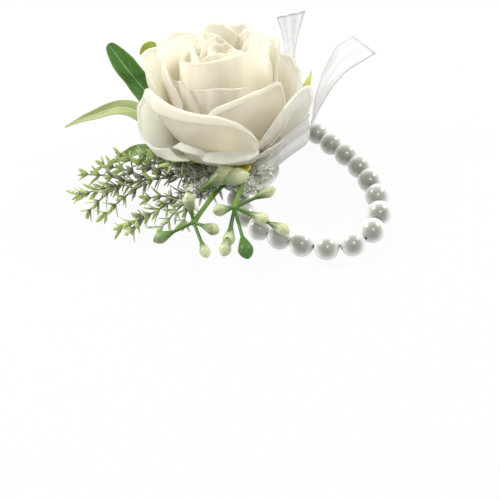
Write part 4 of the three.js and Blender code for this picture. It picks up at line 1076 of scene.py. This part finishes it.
def makeRibbon(name, ribbon):
    # The straight lines between two edge splines, lifted along the sheet's normal by a sine across
    # it, the gathers, and a smaller sine along it
    v = np.linspace(0, 1, ribbonStock["rows"])
    lower, upper = (splineAt(np.array(ribbon[edge]) * greenSpan, v) for edge in ("lower", "upper"))
    u = np.linspace(0, 1, ribbonStock["columns"])[None, :, None]
    points = lower[:, None] * (1 - u) + upper[:, None] * u
    normal = unit(np.cross(upper - lower, np.gradient(0.5 * (lower + upper), axis=0)))[:, None]
    v = v[:, None, None]
    gather = ribbon["ripple"] * (np.sin(fullTurn * ribbonStock["gathers"] * u + 3 * v) + 0.5 * np.sin(21 * v))
    points = (points + normal * gather) * mm
    sheaf = Sheaf()
    sheaf.grid(points)
    piece = finishPiece(sheaf.mesh(name), finishes["organza"], replaced=[ribbon["node"]],
                        thickness=ribbonStock["thickness"] * mm)


for name, ribbon in ribbons.items():
    makeRibbon(name, ribbon)


# Pearls and elastic

pearlShape = {"radius": 4.0, "bore": 0.46, "mouth": 0.6, "boreShare": 0.96, "sides": 48, "rings": 40}
elastic = {"radius": 0.4, "reach": 5.6, "tieReach": 15.0, "height": 4.0, "channel": 9.0, "sides": 14}
pearlNodes = sorted(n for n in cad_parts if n.startswith("pearl_"))
centres = np.array([(np.array(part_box(n)[0]) + np.array(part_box(n)[1])) / 2 for n in pearlNodes])
tie = np.array([0, 0, elastic["height"] * mm])


def neighbours(k):
    return centres[k - 1] if k else tie, centres[k + 1] if k + 1 < len(centres) else tie


def makePearl(k, node):
    # A half circle turned about the bore, from mouth to mouth, and closed by the bore's own wall
    before, after = neighbours(k)
    axis = unit(unit(centres[k] - before) + unit(after - centres[k]))
    start = math.asin(pearlShape["mouth"] / pearlShape["radius"])
    angle = np.linspace(start, math.pi - start, pearlShape["rings"])
    outside = np.stack([np.sin(angle), -np.cos(angle)], -1) * pearlShape["radius"]
    end = pearlShape["boreShare"] * outside[-1, 1]
    profile = np.vstack([outside, [(pearlShape["bore"], end), (pearlShape["bore"], -end)], outside[:1]])
    sheaf = Sheaf()
    sheaf.grid(spun(profile * mm, centres[k], axis, pearlShape["sides"]), wrapAcross=True)
    piece = sheaf.mesh(node.replace("_", "") + "Bead", 1e-7)
    finishPiece(piece, finishes["pearl"], body=node, replaced=[node])


def elasticPiece(name, path, radius, body, replaced=()):
    sheaf = Sheaf()
    sheaf.grid(tubeGrid(path, radius * mm, elastic["sides"], (0, 0, 1)), wrapAcross=True)
    finishPiece(sheaf.mesh(name), finishes["elastic"], body=body, replaced=replaced)


def makeElastic(k, node):
    # Each pearl carries the cord from its own centre towards both neighbours, past the gap's middle
    ends = []
    for neighbour in neighbours(k):
        reach = elastic["tieReach"] if neighbour is tie else elastic["reach"]
        ends.append(centres[k] + unit(neighbour - centres[k]) * reach * mm)
    halfway = [0.5 * (end + centres[k]) for end in ends]
    path = np.vstack([ends[0], halfway[0], centres[k], halfway[1], ends[1]])
    elasticPiece(node.replace("_", "") + "Cord", path, elastic["radius"], node)


for k, node in enumerate(pearlNodes):
    makePearl(k, node)
    makeElastic(k, node)

channelWay = unit(centres[-1] - centres[0]) * elastic["channel"] * mm
elasticPiece("channelCord", tie + np.linspace(-1, 1, 5)[:, None] * channelWay, elastic["radius"] * 0.95,
             "bracelet", ["elastic_cord"])
print("pearls made:", len(pearlNodes))


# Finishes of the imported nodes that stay

for node, finish in (("felt_pad", "felt"), ("glue_mound", "glue"), ("rose_peg", "peg"),
                     ("ribbon_knot", "organza")):
    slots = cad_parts[node].data.materials
    slots.clear()
    slots.append(finishes[finish])


# Studio: white floor, world light from behind and above, two soft boxes and a small one in front

studio = {
    "floor": 1.6, "floorSink": 0.0002, "floorColour": (0.6, 0.6, 0.6, 1), "floorGlow": 0.95,
    "worldStrength": 1.08, "frontStrength": 0.2, "frontEnd": 0.9, "distance": 0.75,
    "keyWay": (-0.6, 0.35, 0.72), "keyPower": 4.2, "fillWay": (0.75, 0.1, 0.65), "fillPower": 2.6,
    "box": 0.16, "catchSide": 0.1, "catchRise": 0.14, "catchPower": 1.05, "catchBox": 0.17,
}


def makeFloor():
    # A square just below the part: it takes the shadow as cloth would, and rays of the camera and
    # those in gloss and glass find it nearly white
    half, sink = studio["floor"], studio["floorSink"]
    data = bpy.data.meshes.new("floor")
    corners = [(-half, -half), (half, -half), (half, half), (-half, half)]
    data.from_pydata([(x, y, -sink) for x, y in corners], [], [(0, 1, 2, 3)])
    floor = bpy.data.objects.new("floor", data)
    bpy.context.scene.collection.objects.link(floor)
    material, nodes, shader = newMaterial("whiteGround", Roughness=0.9, Specular_IOR_Level=0.0,
                                          Base_Color=studio["floorColour"])
    glow = nodes.add("ShaderNodeEmission")
    glow.inputs["Strength"].default_value = 1.0
    share = nodes.math("MULTIPLY", nodes.seen(), studio["floorGlow"])
    mixShaders(material, nodes, share, shader, glow)
    data.materials.append(material)


def makeWorld():
    # White all round and darker towards the viewer, by the dot product with the camera's back axis,
    # so that the light comes from behind; the pearls' grey heart is painted in their colour
    world = bpy.data.worlds.new("studioWorld")
    bpy.context.scene.world = world
    world.use_nodes = True
    nodes = Nodes(world.node_tree)
    background = world.node_tree.nodes["Background"]
    dot = nodes.add("ShaderNodeVectorMath", operation="DOT_PRODUCT")
    nodes.link(nodes.add("ShaderNodeTexCoord").outputs["Generated"], dot.inputs[0])
    dot.inputs[1].default_value = tuple(cameraAxes[2])
    shade = nodes.ramp(dot.outputs["Value"], studio["worldStrength"], studio["frontStrength"], 0.0,
                       studio["frontEnd"])
    nodes.link(nodes.math("MAXIMUM", shade, nodes.seen()), background.inputs["Strength"])
    background.inputs["Color"].default_value = (1, 1, 1, 1)


def makeSoftBox(name, way, power, size):
    data = bpy.data.lights.new(name, "AREA")
    data.energy, data.size = power, size
    lamp = bpy.data.objects.new(name, data)
    direction = mathutils.Vector(way).normalized()
    lamp.location = direction * studio["distance"]
    lamp.rotation_euler = direction.to_track_quat("Z", "Y").to_euler()
    bpy.context.scene.collection.objects.link(lamp)


makeFloor()
makeWorld()
makeSoftBox("leftBox", studio["keyWay"], studio["keyPower"], studio["box"])
makeSoftBox("rightBox", studio["fillWay"], studio["fillPower"], studio["box"])
right, up, back = cameraAxes  # a small box beside the viewer gives each pearl its bright point
catchWay = back + studio["catchRise"] * up + studio["catchSide"] * right
makeSoftBox("catchBox", tuple(catchWay), studio["catchPower"], studio["catchBox"])
bpy.context.scene.view_settings.view_transform = "Standard"
print("studio set")
